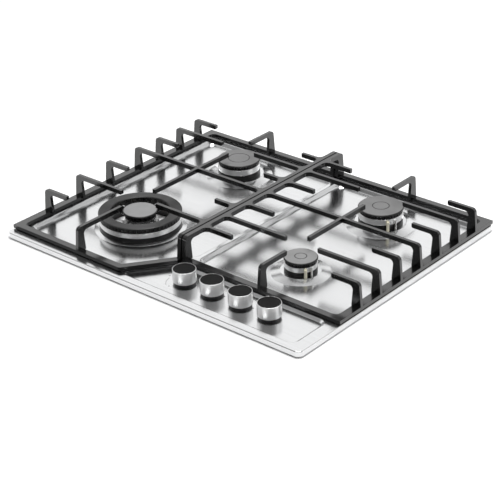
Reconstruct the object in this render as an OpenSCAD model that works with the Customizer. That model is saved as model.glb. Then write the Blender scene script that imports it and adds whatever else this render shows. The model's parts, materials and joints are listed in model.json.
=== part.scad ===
// Built-in gas cooktop with four burners, two cast-iron pan grates and four front knobs.
// The origin is the middle of the cut-out at the level of the worktop, +Y is the back.

/* [Steel plate] */
// Width of the plate, left to right
plate_w = 600; // [590:1:640]
// Depth of the plate, front to back
plate_d = 498; // [494:1:540]
// Radius of the plate's corners in plan
plate_r = 10; // [6:1:16]
// Height of the plate's rim above the worktop
rim_h = 10.5; // [9:0.5:14]
// Thickness of the sheet steel of the plate
sheet = 1; // [0.8:0.1:1.2]
// How deep the wells and the knob bay are pressed into the plate
well_depth = 6; // [4:0.5:7]
// Sideways run of the sloping wall of a pressed area
well_run = 4; // [3:0.5:6]
// Radius of the pressed corners at the floor
well_r = 9; // [8:1:12]
// Flat border at the left and right sides
border_side = 19; // [16:1:22]
// Flat border at the back
border_back = 21; // [18:1:24]
// Flat border in front of the knob bay
border_front = 14.5; // [12:0.5:18]
// Flat border in front of the left well
left_front_border = 33; // [31:1:36]
// Depth of the knob bay at rim level
bay_d = 78; // [74:1:82]
// Width of the web between the left and right wells
web_w = 8.8; // [7:0.2:12]
// Thickness of the foam seal under the rim
seal_t = 1.5; // [1:0.25:2.5]
// Width of the foam seal
seal_w = 9; // [6:1:10]

/* [Box under the plate] */
// Distance from the box to the plate's left and right edges
box_side = 26; // [24:1:30]
// Distance from the plate's front edge to the box
box_front = 21; // [20:1:24]
// Distance from the box to the plate's back edge
box_back = 27; // [26:1:30]
// Depth of the box below the worktop
box_h = 54; // [54:1:60]
// Thickness of the box's sheet steel
box_sheet = 0.8; // [0.6:0.1:1.2]
// Width of the inward flange at the top of the box
box_flange = 12; // [10:1:16]

/* [Burner places] */
// From the plate's left edge to the left burners' axes
left_burner_in = 147.5; // [145:0.5:151]
// From the plate's right edge to the right burners' axes
right_burner_in = 152; // [149:0.5:155]
// From the plate's front edge to the wok burner's axis
wok_from_front = 157.5; // [155:0.5:160]
// From the plate's back edge to the rear left burner's axis
rear_left_from_back = 95.5; // [93:0.5:98]
// From the plate's back edge to the rear right burner's axis
rear_right_from_back = 97.5; // [95:0.5:100]
// From the plate's front edge to the front right burner's axis
front_right_from_front = 194.5; // [192:0.5:197]
// From the plate's back edge to the middle crossbars
mid_row_from_back = 200.5; // [198:0.5:203]
// From the wok burner's row to the left grate's first row
left_first_pitch = 70; // [68:0.5:72]
// From a burner's row to the last row at the other ends
end_pitch = 48; // [46:0.5:50]

/* [Pan grates] */
// Height of the pan level above the worktop
pan_z = 56; // [54:0.5:60]
// Gap between a grate's outer edge and the plate's edge
grate_inset = 1.5; // [1:0.5:3]
// Distance from the plate's front edge to the left grate
left_grate_front = 15; // [14:0.5:17]
// Distance from the plate's front edge to the right grate
right_grate_front = 94.5; // [93:0.5:97]
// Width of the bars at the grates' sides
side_bar_w = 13.5; // [12:0.5:15]
// Width of the bars at the grates' front and back
end_bar_w = 11; // [10:0.5:12]
// Thickness of the grates' frames
frame_t = 5.8; // [5:0.2:7]
// Height of the rubber feet under the frames
foot_h = 1.5; // [1:0.25:2]
// Radius of the rubber feet
foot_r = 4.5; // [4:0.25:5]
// Width of the fingers
finger_w = 5.5; // [5:0.25:6]
// Height of the fingers
finger_h = 7.5; // [7:0.25:9]
// Width of a leg at its foot
leg_foot_w = 17; // [16:0.5:20]
// Width of a leg below its elbow
leg_top_w = 12; // [11:0.5:14]
// How far a leg leans inwards over its height
leg_lean = 3; // [2:0.5:4]
// Outer radius of an elbow
elbow_r = 7; // [5:0.5:8]
// Inner radius of an elbow
elbow_fillet = 7; // [5:0.5:8]
// Width of the two middle rails
rail_w = 7.3; // [6.5:0.1:8]
// Gap between the two middle rails
rail_gap = 2.4; // [2:0.2:4]
// Place of that gap, from the middle
rail_gap_x = -6.5; // [-8:0.5:-4]
// Radius of the webs where a finger meets a rail
root_fillet = 9; // [6:0.5:10]
// Length of the short fingers, from the grate's outer edge
short_reach = 54; // [50:1:58]
// Length of the left grate's inner short fingers, from the gap
left_stub = 45; // [42:1:48]
// Length of the right grate's inner short fingers, from the gap
right_stub = 59.5; // [56:0.5:62]
// Length of the slanted bar at the left grate's front corner
slant_l = 97; // [96:1:98]

/* [Free space round each burner] */
// From the wok burner's axis to the side fingers
wok_side_gap = 38; // [34:1:42]
// From the wok burner's axis to the front finger
wok_front_gap = 42; // [38:1:44]
// From the wok burner's axis to the bar behind it
wok_back_gap = 33.5; // [31:0.5:36]
// From the rear left burner's axis to the side fingers
rl_side_gap = 36; // [33:1:40]
// From the rear left burner's axis to the front and back fingers
rl_end_gap = 29; // [26:1:32]
// From the rear right burner's axis to the side fingers
rr_side_gap = 43.5; // [40:0.5:46]
// From the rear right burner's axis to the bar in front of it
rr_front_gap = 45.5; // [42:0.5:48]
// From the rear right burner's axis to the back finger
rr_back_gap = 33.5; // [30:0.5:36]
// From the front right burner's axis to the outer finger
fr_outer_gap = 34; // [31:1:37]
// From the front right burner's axis to the inner finger
fr_inner_gap = 28; // [25:1:31]
// From the front right burner's axis to the front finger
fr_front_gap = 36; // [33:1:38]
// From the front right burner's axis to the bar behind it
fr_back_gap = 19; // [17:1:22]

/* [Small burners] */
// Radius of the two rear burners
semi_r = 36; // [34:0.5:38]
// Radius of the front right burner
aux_r = 25.8; // [25:0.2:28]
// Height of the raised seat that the small burners stand on
dome_rise = 4; // [3:0.5:5]
// Flat part of the seat outside the burner
dome_flat = 6; // [5.5:0.5:8]
// Sloping part of the seat
dome_slope = 15; // [12:1:17]
// Height of a rear burner's enamelled base
semi_base_h = 9.5; // [8:0.5:11]
// Height of a rear burner's plain band
semi_band_h = 9.5; // [8:0.5:11]
// Height of a rear burner's slotted band
semi_slot_h = 5.7; // [5:0.1:6.5]
// Number of flame slots in a rear burner
semi_slots = 36; // [24:2:48]
// Height of the front right burner's enamelled base
aux_base_h = 7; // [6:0.5:8]
// Height of the front right burner's plain band
aux_band_h = 7.5; // [6:0.5:9]
// Height of the front right burner's slotted band
aux_slot_h = 5.5; // [5:0.1:6]
// Number of flame slots in the front right burner
aux_slots = 24; // [16:2:30]
// Thickness of the enamelled caps
cap_t = 3; // [2.5:0.25:4]
// How far a cap stands out over its burner head
cap_over = 0.8; // [0.5:0.1:1.2]
// Width of the flame slots
slot_w = 1.8; // [1.4:0.1:2.2]
// Radius of the circle engraved in a cap, as a share of the cap's radius
groove_share = 0.5; // [0.35:0.05:0.65]
// Width of the engraved circle
groove_w = 1.1; // [0.8:0.1:1.6]
// Depth of the engraved circle
groove_d = 0.6; // [0.4:0.1:0.8]
// Thickness of the burners' cast walls
cast_wall = 3; // [2.5:0.25:3.5]

/* [Wok burner] */
// Outer radius of the wok burner
wok_r = 67; // [65:0.5:69]
// Width of its ring, from the outer flames to the inner ones
wok_ring_w = 17; // [15:0.5:19]
// Radius of its inner cap
wok_inner_r = 28; // [26:0.5:29]
// Height of its enamelled base
wok_base_h = 8; // [7:0.5:9]
// Height of its plain band
wok_band_h = 8; // [7:0.5:9]
// Height of its slotted band
wok_slot_h = 7.5; // [6:0.5:8]
// Thickness of its ring cap
wok_cap_t = 2.4; // [2:0.2:3]
// Number of its outer flame slots
wok_slots = 60; // [40:4:72]
// Number of its inner flame slots
wok_inner_slots = 20; // [12:2:28]
// Height of the raised seat under it
wok_dome_rise = 1.5; // [1:0.25:2.5]
// Sloping part of that seat
wok_dome_slope = 7; // [5:0.5:9]
// Number of bridges that carry the inner burner
bridge_count = 4; // [3:1:6]
// Width of a bridge
bridge_w = 6; // [5:0.5:8]

/* [Knobs and valves] */
// Outer radius of a knob
knob_r = 18.2; // [17.5:0.1:19]
// Height of a knob
knob_h = 20; // [18:0.5:22]
// Height of a knob's lower edge above the knob bay's floor
knob_gap = 6.7; // [6:0.1:8]
// Wall of a knob's skirt
knob_wall = 0.8; // [0.6:0.1:1]
// Thickness of the black disc on a knob
knob_top_t = 1.2; // [0.8:0.1:1.6]
// Distance from the plate's front edge to the knobs' axes
knob_line = 56.5; // [54:0.5:59]
// Place of the first knob, from the middle
first_knob_x = 35; // [32:0.5:38]
// Pitch of the knobs
knob_pitch = 55; // [53:0.5:57]
// Radius of a valve's spindle
spindle_r = 3; // [2.5:0.1:3.5]
// Radius of the valve's body
valve_r = 10; // [9:0.5:11]
// Radius of the gas rail
rail_pipe_r = 7.5; // [7:0.25:8.5]
// Wall of the gas rail
pipe_wall = 1.2; // [1:0.1:1.6]
// Radius of the pipes to the burners
feed_r = 3; // [2.5:0.25:3.5]
// Radius of the leads
lead_r = 1.4; // [1.2:0.1:1.6]

/* [Connections] */
// Outer radius of the gas inlet's thread, G 1/2
inlet_r = 10.48; // [10.4:0.02:13.3]
// Length of the gas inlet's thread
inlet_l = 15; // [12:1:18]
// Radius of the hole in the mains gland
gland_bore_r = 4; // [3:0.5:5]
// Radius of the screw holes for the worktop clamps
clamp_hole_r = 2.25; // [2:0.05:2.6]
// Distance between the two clamps on one side
clamp_pitch = 340; // [320:5:360]

/* [Hidden] */
$fn = 64;
// Sliding clearance between parts that move on each other
slide = 0.05;
// Clearance between parts that only stand together
loose = 0.3;
// Overrun of every cut
over = 1;

// Levels of the plate
floor_z = rim_h - well_depth;
under_z = floor_z - sheet;
rim_under_z = rim_h - sheet;
half_w = plate_w / 2;
half_d = plate_d / 2;
box_w = plate_w - 2 * box_side;
box_bottom_z = -box_h;
box_in_z = box_bottom_z + box_sheet;
box_front_y = -half_d + box_front;
box_back_y = half_d - box_back;

// Burner axes
left_burner_x = half_w - left_burner_in;
right_burner_x = half_w - right_burner_in;
wok_at = [-left_burner_x, -half_d + wok_from_front];
rl_at = [-left_burner_x, half_d - rear_left_from_back];
rr_at = [right_burner_x, half_d - rear_right_from_back];
fr_at = [right_burner_x, -half_d + front_right_from_front];

// Rows of the grates, front to back; some lie halfway between their neighbours
mid_row_y = half_d - mid_row_from_back;
left_rows = [wok_at.y - left_first_pitch, wok_at.y, (wok_at.y + mid_row_y) / 2, mid_row_y,
    (mid_row_y + rl_at.y) / 2, rl_at.y, rl_at.y + end_pitch];
right_rows = [fr_at.y - end_pitch, fr_at.y, (fr_at.y + mid_row_y) / 2, mid_row_y,
    (mid_row_y + rr_at.y) / 2, rr_at.y, rr_at.y + end_pitch];

// Burner seats
seat_z = floor_z + dome_rise;
wok_seat_z = floor_z + wok_dome_rise;
cup_gap = 2;
cup_step = 8;
semi_cup_r = semi_r - cup_step;
aux_cup_r = aux_r - cup_step + cup_gap;
wok_cup_r = wok_r - cup_step - cup_gap;
cup_bottom_z = -14;
wok_cup_bottom_z = -18;
head_lip = 2.5;
venturi_r = 9;
injector_r = 3.5;

// Directions of igniters and flame sensors from a burner's axis, as shares
spark_dir = [0.8, -0.6];
sensor_dir = [0.96, -0.28];
rear_spark_dir = [-0.8, 0.6];
rear_sensor_dir = [-0.28, 0.96];
spark_out = 2.6;
spark_r = 2.4;
spark_hole_gap = 0.6;
spark_pin_r = 0.8;
sensor_r = 1.6;
wok_ring_in = wok_r - wok_ring_w;
wok_spark_at_r = (wok_ring_in + wok_inner_r) / 2;
spark_top_over = 7;
spark_bottom_z = -22;

// Knobs
knob_xs = [for (k = [0:3]) first_knob_x + k * knob_pitch];
knob_y = -half_d + knob_line;
knob_z = floor_z + knob_gap;
knob_top_z = knob_z + knob_h;
ring_wall = 1.2;
ring_r = knob_r - knob_wall - loose;
ring_lap = 2;
hub_r = 6;
web_t = 3;
spindle_hole_r = 5.2;

// Valves
valve_top_z = -8;
valve_bottom_z = -36;
bore_r = 5.75;
bore_bottom_z = -33.5;
plunger_h = 6;
plunger_z = -22;
spring_r = 5.2;
spring_wall = 1.3;
spindle_tail = 4;
rail_pipe_back = 20.5;
rail_pipe_y = knob_y + rail_pipe_back;
rail_pipe_z = -22;
rail_start_off = 20;
rail_start_x = first_knob_x - rail_start_off;
inlet_in = 19;
fitting_l = 34;
feed_x = box_w / 2 - inlet_in;
feed_y = box_back_y - fitting_l;
sensor_port_off = 13;
sensor_port_back = 10;
sensor_port_r = 3.2;
sensor_port_d = 3;
block_w = 14;

// Pipe levels
upper_pipe_z = -41;
lower_pipe_z = -48.5;
pipe_bend = 4;
lead_bend = 4;
lead_z = -33;
copper_r = 0.98;
sensor_z = -8;
sensor_high_z = -3.5;
port_top_z = sensor_z - lead_bend;
port_end_z = port_top_z - sensor_port_d;

// Geometry helpers: unit vector, left-hand normal, heading of a vector
function unit(v) = v / norm(v);
function left_of(v) = [-v.y, v.x];
function heading(v) = atan2(v.y, v.x);

// Centres of the corner arcs of a convex outline that runs anticlockwise
function arc_centres(pts, r) = [for (i = [0:len(pts) - 1])
    let (n = len(pts),
         a = left_of(unit(pts[i] - pts[(i + n - 1) % n])),
         b = left_of(unit(pts[(i + 1) % n] - pts[i])))
    pts[i] + r * (a + b) / (1 + a * b)];

// Outward normals of the edges of such an outline
function out_normals(pts) = [for (i = [0:len(pts) - 1])
    -left_of(unit(pts[(i + 1) % len(pts)] - pts[i]))];

// Outline with round corners, grown outwards by g
module rounded(pts, r, g = 0) {
    c = arc_centres(pts, r);
    o = out_normals(pts);
    n = len(pts);
    polygon([for (i = [0:n - 1]) each
        [c[i] + (r + g) * o[(i + n - 1) % n], c[i] + (r + g) * o[i]]]);
    for (i = [0:n - 1])
        translate(c[i]) circle(r + g);
}

// A section swept round the same outline; the section's x is measured outwards
module swept(pts, r) {
    c = arc_centres(pts, r);
    o = out_normals(pts);
    n = len(pts);
    for (i = [0:n - 1]) {
        j = (i + 1) % n;
        before = o[(i + n - 1) % n];
        translate(concat(c[j] + r * o[i], [0]))
            rotate([90, 0, heading(o[i])])
                linear_extrude(norm(c[j] - c[i])) children();
        reach = 4 * r;
        translate(concat(c[i], [0])) intersection() {
            rotate_extrude() translate([r, 0]) children();
            linear_extrude(2 * reach, center = true)
                polygon([[0, 0], reach * before, reach * (before + o[i]), reach * o[i]]);
        }
    }
}

function rectangle(x0, y0, x1, y1) = [[x0, y0], [x1, y0], [x1, y1], [x0, y1]];

module slab(pts, r, z0, z1, g = 0) {
    translate([0, 0, z0]) linear_extrude(z1 - z0) rounded(pts, r, g);
}

module tube(r, wall, z0, z1) {
    translate([0, 0, z0]) difference() {
        cylinder(h = z1 - z0, r = r);
        translate([0, 0, -over]) cylinder(h = z1 - z0 + 2 * over, r = r - wall);
    }
}

module pole(r, z0, z1) {
    translate([0, 0, z0]) cylinder(h = z1 - z0, r = r);
}

// A round pipe along straight legs that follow the axes, with true bends between them
module pipe_run(pts, r, bend) {
    n = len(pts);
    for (i = [0:n - 2]) {
        d = unit(pts[i + 1] - pts[i]);
        first = i == 0 ? 0 : bend;
        last = i == n - 2 ? 0 : bend;
        start = pts[i] + first * d;
        multmatrix(frame_of(side_of(d), cross(d, side_of(d)), d, start))
            cylinder(h = norm(pts[i + 1] - pts[i]) - first - last, r = r);
        if (i < n - 2) {
            e = unit(pts[i + 2] - pts[i + 1]);
            multmatrix(frame_of(-e, d, cross(-e, d), pts[i + 1] - bend * d + bend * e))
                rotate_extrude(angle = 90) translate([bend, 0]) circle(r);
        }
    }
}
function side_of(d) = abs(d.z) > 0.5 ? [1, 0, 0] : cross(d, [0, 0, 1]);
function frame_of(x, y, z, p) = [[x.x, y.x, z.x, p.x], [x.y, y.y, z.y, p.y], [x.z, y.z, z.z, p.z]];

// Outlines of the pressed areas at floor level
well_x = half_w - border_side - well_run;
well_back_y = half_d - border_back - well_run;
web_off = 10;
web_x = rail_gap_x + web_off;
left_well_x = web_x - web_w / 2 - well_run;
right_well_x = web_x + web_w / 2 + well_run;
left_well_front_y = -half_d + left_front_border + well_run;
bay_front_y = -half_d + border_front + well_run;
bay_back_y = -half_d + border_front + bay_d - well_run;
bay_x = half_w - border_side - well_run - 3 * sheet;
right_well_front_y = -half_d + right_grate_front + end_bar_w + 3 * well_run;

// The slanted bar of the left grate, from its front end to its rear end
slant_share = [0.6, 0.8];
slant_dir = unit(slant_share);
slant_a = [rail_gap_x - slant_l * slant_dir.x, -half_d + left_grate_front + end_bar_w / 2];
slant_b = slant_a + slant_l * slant_dir;
slant_clear = end_bar_w / 2 + 3 * well_run;

// Where the line beside the slanted bar meets a given y or x
function beside(side, y) = let (p = slant_a + side * slant_clear * left_of(slant_dir))
    [p.x + (y - p.y) * slant_dir.x / slant_dir.y, y];
function beside_x(side, x) = let (p = slant_a + side * slant_clear * left_of(slant_dir))
    [x, p.y + (x - p.x) * slant_dir.y / slant_dir.x];

left_well = [[-well_x, left_well_front_y], beside(1, left_well_front_y),
    beside_x(1, left_well_x), [left_well_x, well_back_y], [-well_x, well_back_y]];
right_well = rectangle(right_well_x, right_well_front_y, well_x, well_back_y);
knob_bay = [beside(-1, bay_front_y), [bay_x, bay_front_y], [bay_x, bay_back_y],
    beside(-1, bay_back_y)];

whole = rectangle(-half_w, -half_d, half_w, half_d);

// Places of the studs that hold the box
stud_r = 2;
stud_l = 9;
stud_in = box_sheet + box_flange / 2;
stud_x = box_w / 2 - stud_in;
stud_front_in = 137;
stud_back_in = 69.8;
stud_ys = [-half_d + stud_front_in, (stud_front_in - stud_back_in) / 2, half_d - stud_back_in];
stud_places = [for (sx = [-1, 1], y = stud_ys) [sx * stud_x, y]];

// Pressed seat round a burner
module dome(r, rise, flat, slope, hole) {
    rotate_extrude() polygon([
        [hole, floor_z + rise - sheet], [hole, floor_z + rise],
        [r + flat, floor_z + rise], [r + flat + slope, floor_z],
        [r + flat + slope + sheet, floor_z], [r + flat + slope + sheet, under_z],
        [r + flat + slope, under_z], [r + flat, floor_z + rise - sheet]]);
}

module burner_place(at) { translate(concat(at, [0])) children(); }

semi_spark_at = semi_r + spark_out;
aux_spark_at = aux_r + spark_out;

// Points of the igniters and flame sensors
rl_spark = rl_at + semi_spark_at * rear_spark_dir;
rr_spark = rr_at + semi_spark_at * spark_dir;
fr_spark = fr_at + aux_spark_at * spark_dir;
wok_spark = wok_at + wok_spark_at_r * rear_spark_dir;
rl_sensor = rl_at + semi_spark_at * rear_sensor_dir;
rr_sensor = rr_at + semi_spark_at * sensor_dir;
fr_sensor = fr_at + aux_spark_at * sensor_dir;
wok_sensor = wok_at + wok_spark_at_r * rear_sensor_dir;

module top_plate() {
    wall = [[-sheet, under_z], [-sheet, floor_z], [0, floor_z], [well_run, rim_h],
        [well_run + sheet, rim_h], [well_run + sheet, rim_under_z], [sheet, under_z]];
    color("silver") difference() {
        union() {
            // Border with the three pressed openings
            difference() {
                slab(whole, plate_r, rim_under_z, rim_h);
                for (area = [left_well, right_well, knob_bay])
                    slab(area, well_r, rim_under_z - over, rim_h + over, well_run);
            }
            // Skirt and return flange
            difference() {
                slab(whole, plate_r, seal_t, rim_h);
                slab(whole, plate_r, seal_t - over, rim_h + over, -sheet);
            }
            difference() {
                slab(whole, plate_r, seal_t, seal_t + sheet, -sheet / 2);
                slab(rectangle(-half_w + box_flange, -half_d + box_flange,
                    half_w - box_flange, half_d - box_flange), sheet, seal_t - over,
                    seal_t + sheet + over);
            }
            // Sloping walls and floors
            for (area = [left_well, right_well, knob_bay])
                swept(area, well_r) polygon(wall);
            difference() {
                slab(left_well, well_r, under_z, floor_z);
                burner_place(wok_at) pole(wok_r + sheet + wok_dome_slope, under_z - over, floor_z + over);
                burner_place(rl_at) pole(semi_r + dome_flat + dome_slope, under_z - over, floor_z + over);
            }
            difference() {
                slab(right_well, well_r, under_z, floor_z);
                burner_place(rr_at) pole(semi_r + dome_flat + dome_slope, under_z - over, floor_z + over);
                burner_place(fr_at) pole(aux_r + dome_flat + dome_slope, under_z - over, floor_z + over);
            }
            slab(knob_bay, well_r, under_z, floor_z);
            // Raised burner seats
            burner_place(wok_at) dome(wok_r, wok_dome_rise, sheet, wok_dome_slope, wok_cup_r + cup_gap / 2);
            burner_place(rl_at) dome(semi_r, dome_rise, dome_flat, dome_slope, semi_cup_r + cup_gap / 2);
            burner_place(rr_at) dome(semi_r, dome_rise, dome_flat, dome_slope, semi_cup_r + cup_gap / 2);
            burner_place(fr_at) dome(aux_r, dome_rise, dome_flat, dome_slope, aux_cup_r + cup_gap / 2);
            // Welded studs
            for (p = stud_places)
                burner_place(p) pole(stud_r, under_z - stud_l, under_z + sheet / 2);
        }
        for (x = knob_xs)
            translate([x, knob_y, 0]) pole(spindle_hole_r, under_z - over, floor_z + over);
        for (p = [rl_spark, rr_spark, fr_spark])
            burner_place(p) pole(spark_r + spark_hole_gap, under_z - over, rim_h + over);
        for (p = [rl_sensor, rr_sensor, fr_sensor])
            burner_place(p) pole(sensor_r + spark_hole_gap, under_z - over, rim_h + over);
    }
}

module rim_seal() {
    color("dimgray") difference() {
        slab(whole, plate_r, 0, seal_t, -2 * sheet);
        slab(rectangle(-half_w + seal_w + sheet, -half_d + seal_w + sheet, half_w - seal_w - sheet,
            half_d - seal_w - sheet), sheet, -over, seal_t + over);
    }
}

// Sheet-steel box with louvres in its bottom
gland_in = 74;
gland_x = -box_w / 2 + gland_in;
gland_z = -34;
gland_r = 8;
gland_neck_r = 6;
inlet_z = -30;
louvre_l = 60;
louvre_w = 5;
louvre_pitch = 14;
louvre_count = 6;
clamp_z = -30;
clamp_ys = [-clamp_pitch / 2, clamp_pitch / 2];

module under_box() {
    color("lightgray") difference() {
        union() {
            difference() {
                translate([-box_w / 2, box_front_y, box_bottom_z])
                    cube([box_w, box_back_y - box_front_y, under_z - box_bottom_z]);
                translate([-box_w / 2 + box_sheet, box_front_y + box_sheet, box_in_z])
                    cube([box_w - 2 * box_sheet, box_back_y - box_front_y - 2 * box_sheet,
                        under_z - box_in_z + over]);
            }
            for (s = [-1, 1])
                translate([s * (box_w / 2 - box_flange / 2) - box_flange / 2, box_front_y,
                    under_z - box_sheet])
                    cube([box_flange, box_back_y - box_front_y, box_sheet]);
        }
        for (p = stud_places)
            burner_place(p) pole(clamp_hole_r, under_z - box_sheet - over, under_z + over);
        for (sx = [-1, 1], k = [0:louvre_count - 1])
            translate([sx * left_burner_x - louvre_l / 2, k * louvre_pitch, box_bottom_z - over])
                cube([louvre_l, louvre_w, box_sheet + 2 * over]);
        translate([feed_x, box_back_y + over, inlet_z]) rotate([90, 0, 0])
            cylinder(h = 2 * over + box_sheet, r = inlet_r + loose);
        translate([gland_x, box_back_y + over, gland_z]) rotate([90, 0, 0])
            cylinder(h = 2 * over + box_sheet, r = gland_neck_r + loose);
        for (s = [-1, 1], y = clamp_ys)
            translate([s * (box_w / 2 - box_sheet / 2), y, clamp_z]) rotate([0, 90, 0])
                cylinder(h = 2 * over + box_sheet, r = clamp_hole_r, center = true);
    }
}

nut_r = 4;
nut_h = 3.2;

module plate_nuts() {
    color("lightsteelblue") for (p = stud_places)
        burner_place(p) translate([0, 0, under_z - box_sheet - nut_h]) difference() {
            cylinder(h = nut_h, r = nut_r, $fn = 6);
            translate([0, 0, -over]) cylinder(h = nut_h + 2 * over, r = stud_r + slide, $fn = 32);
        }
}

// Clamps that pull the cooktop down on the worktop
clamp_w = 22;
clamp_t = 2;
clamp_drop = 12;
clamp_arm = 17;
clamp_head_r = 4.2;
clamp_head_h = 2.6;
clamp_shank_r = 2;

module fixing_clamps() {
    color("gainsboro") for (s = [0, 1], y = clamp_ys)
        mirror([s, 0, 0]) difference() {
            union() {
                translate([box_w / 2, y - clamp_w / 2, clamp_z - clamp_drop])
                    cube([clamp_t, clamp_w, 2 * clamp_drop]);
                translate([box_w / 2, y - clamp_w / 2, clamp_z - clamp_drop])
                    cube([clamp_arm, clamp_w, clamp_t]);
            }
            translate([box_w / 2 - over, y, clamp_z]) rotate([0, 90, 0])
                cylinder(h = clamp_t + 2 * over, r = clamp_hole_r, $fn = 32);
        }
}

module clamp_screws() {
    color("silver") for (s = [0, 1], y = clamp_ys)
        mirror([s, 0, 0]) translate([box_w / 2 + clamp_t, y, clamp_z]) rotate([0, 90, 0]) {
            cylinder(h = clamp_head_h, r = clamp_head_r, $fn = 32);
            translate([0, 0, -clamp_t - 4 * box_sheet])
                cylinder(h = clamp_t + 5 * box_sheet, r = clamp_shank_r, $fn = 32);
        }
}

// Grate levels and edges
frame_z = rim_h + foot_h;
frame_top_z = frame_z + frame_t;
grate_x = half_w - grate_inset;
grate_back_y = half_d - grate_inset;
left_grate_y = -half_d + left_grate_front;
right_grate_y = -half_d + right_grate_front;
left_rail_x = rail_gap_x - rail_gap / 2;
right_rail_x = rail_gap_x + rail_gap / 2;
peg_r = 2;
peg_h = 3;

// A leg and its finger seen from the side: x is measured inwards from the outer edge
module leg_outline(reach) {
    inner = leg_lean + leg_top_w;
    low = pan_z - finger_h;
    polygon([[0, frame_top_z], [leg_foot_w, frame_top_z], [inner, low - elbow_fillet], [inner, low],
        [reach - finger_h / 4, low], [reach, low + finger_h / 4], [reach, pan_z],
        [leg_lean + elbow_r, pan_z], [leg_lean, pan_z - elbow_r]]);
    translate([leg_lean + elbow_r, pan_z - elbow_r]) circle(elbow_r);
    translate([inner, low - elbow_fillet]) difference() {
        square(elbow_fillet);
        translate([elbow_fillet, 0]) circle(elbow_fillet);
    }
}

// The pad on the frame that a leg stands on, seen the same way
module pad_outline() {
    translate([0, frame_z + frame_t / 2]) square([leg_foot_w, frame_t / 2]);
}

// Such an outline set up on the left or right edge, running inwards
module from_side(x_edge, row) {
    translate([x_edge, row, 0]) mirror([x_edge > 0 ? 1 : 0, 0, 0])
        rotate([90, 0, 0]) linear_extrude(finger_w, center = true) children();
}

// The same on the back edge, or on the front edge where back is 0
module from_end(x, y_edge, w, back) {
    translate([x, y_edge, 0]) mirror([0, back, 0])
        rotate([90, 0, 90]) linear_extrude(w, center = true) children();
}

// Fillets in plan on both sides of a bar that meets a rail's face
module root_webs(x, row, side) {
    for (s = [-1, 1])
        translate([x, row + s * finger_w / 2]) mirror([side < 0 ? 1 : 0, 0]) mirror([0, s < 0 ? 1 : 0])
            difference() {
                square(root_fillet);
                translate([root_fillet, root_fillet]) circle(root_fillet);
            }
}

module bar(x0, y0, x1, y1) { translate([x0, y0]) square([x1 - x0, y1 - y0]); }

// Fillet in the corner of a frame, seen from above
module frame_corner(x, y, sx, sy) {
    translate([x, y]) mirror([sx < 0 ? 1 : 0, 0]) mirror([0, sy < 0 ? 1 : 0]) difference() {
        square(root_fillet);
        translate([root_fillet, root_fillet]) circle(root_fillet);
    }
}

module pan_level() {
    translate([0, 0, pan_z - finger_h]) linear_extrude(finger_h) children();
}

module foot_holes(places) {
    for (p = places)
        burner_place(p) pole(peg_r + slide, frame_z - over, frame_z + peg_h + loose);
}

left_feet = [[-grate_x + side_bar_w / 2, left_grate_y + end_bar_w / 2],
    slant_a + [-end_bar_w / 2, 0],
    [left_rail_x - rail_w / 2, right_grate_y + end_bar_w / 2],
    [-grate_x + side_bar_w / 2, grate_back_y - end_bar_w / 2],
    [left_rail_x - rail_w / 2, grate_back_y - end_bar_w / 2]];
right_feet = [[right_rail_x + rail_w / 2, right_grate_y + end_bar_w / 2],
    [grate_x - side_bar_w / 2, right_grate_y + end_bar_w / 2],
    [grate_x - side_bar_w / 2, grate_back_y - end_bar_w / 2],
    [right_rail_x + rail_w / 2, grate_back_y - end_bar_w / 2]];

// Frame of the left grate with its front and back fingers
module grate_left_frame() {
    color([0.13, 0.13, 0.14]) difference() {
        union() {
            translate([0, 0, frame_z]) linear_extrude(frame_t) {
                bar(-grate_x, left_grate_y, -grate_x + side_bar_w, grate_back_y);
                bar(-grate_x, grate_back_y - end_bar_w, left_rail_x, grate_back_y);
                bar(-grate_x, left_grate_y, slant_a.x, left_grate_y + end_bar_w);
                difference() {
                    translate(slant_a) rotate(heading(slant_dir)) translate([0, -end_bar_w / 2])
                        square([norm(slant_b - slant_a), end_bar_w]);
                    bar(left_rail_x, slant_b.y - end_bar_w, left_rail_x + end_bar_w, slant_b.y + end_bar_w);
                }
                translate(slant_a) circle(end_bar_w / 2);
                bar(left_rail_x - rail_w, right_grate_y, left_rail_x, right_grate_y + leg_foot_w);
                frame_corner(-grate_x + side_bar_w, left_grate_y + end_bar_w, 1, 1);
                frame_corner(-grate_x + side_bar_w, grate_back_y - end_bar_w, 1, -1);
            }
            for (row = left_rows)
                from_side(-grate_x, row) pad_outline();
            from_end(left_rail_x - rail_w / 2, grate_back_y, rail_w, 1) pad_outline();
            for (back = [0, 1])
                from_end(-left_burner_x, back == 1 ? grate_back_y : left_grate_y, finger_w, back) {
                    pad_outline();
                    leg_outline(back == 1 ? grate_back_y - rl_at.y - rl_end_gap
                        : wok_at.y - wok_front_gap - left_grate_y);
                }
        }
        foot_holes(left_feet);
    }
}

// Its seven side fingers; the fourth is the crossbar and carries the bar between the burners
module grate_left_fingers() {
    color([0.13, 0.13, 0.14]) {
        for (i = [0:6])
            from_side(-grate_x, left_rows[i]) leg_outline(
                i == 1 ? grate_x - left_burner_x - wok_side_gap
                : i == 5 ? grate_x - left_burner_x - rl_side_gap
                : i == 3 ? grate_x + left_rail_x - rail_w : short_reach);
        pan_level() {
            bar(-left_burner_x - finger_w / 2, wok_at.y + wok_back_gap,
                -left_burner_x + finger_w / 2, rl_at.y - rl_end_gap);
            bar(-left_burner_x, mid_row_y - finger_w / 2, left_rail_x - rail_w, mid_row_y + finger_w / 2);
        }
    }
}

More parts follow.
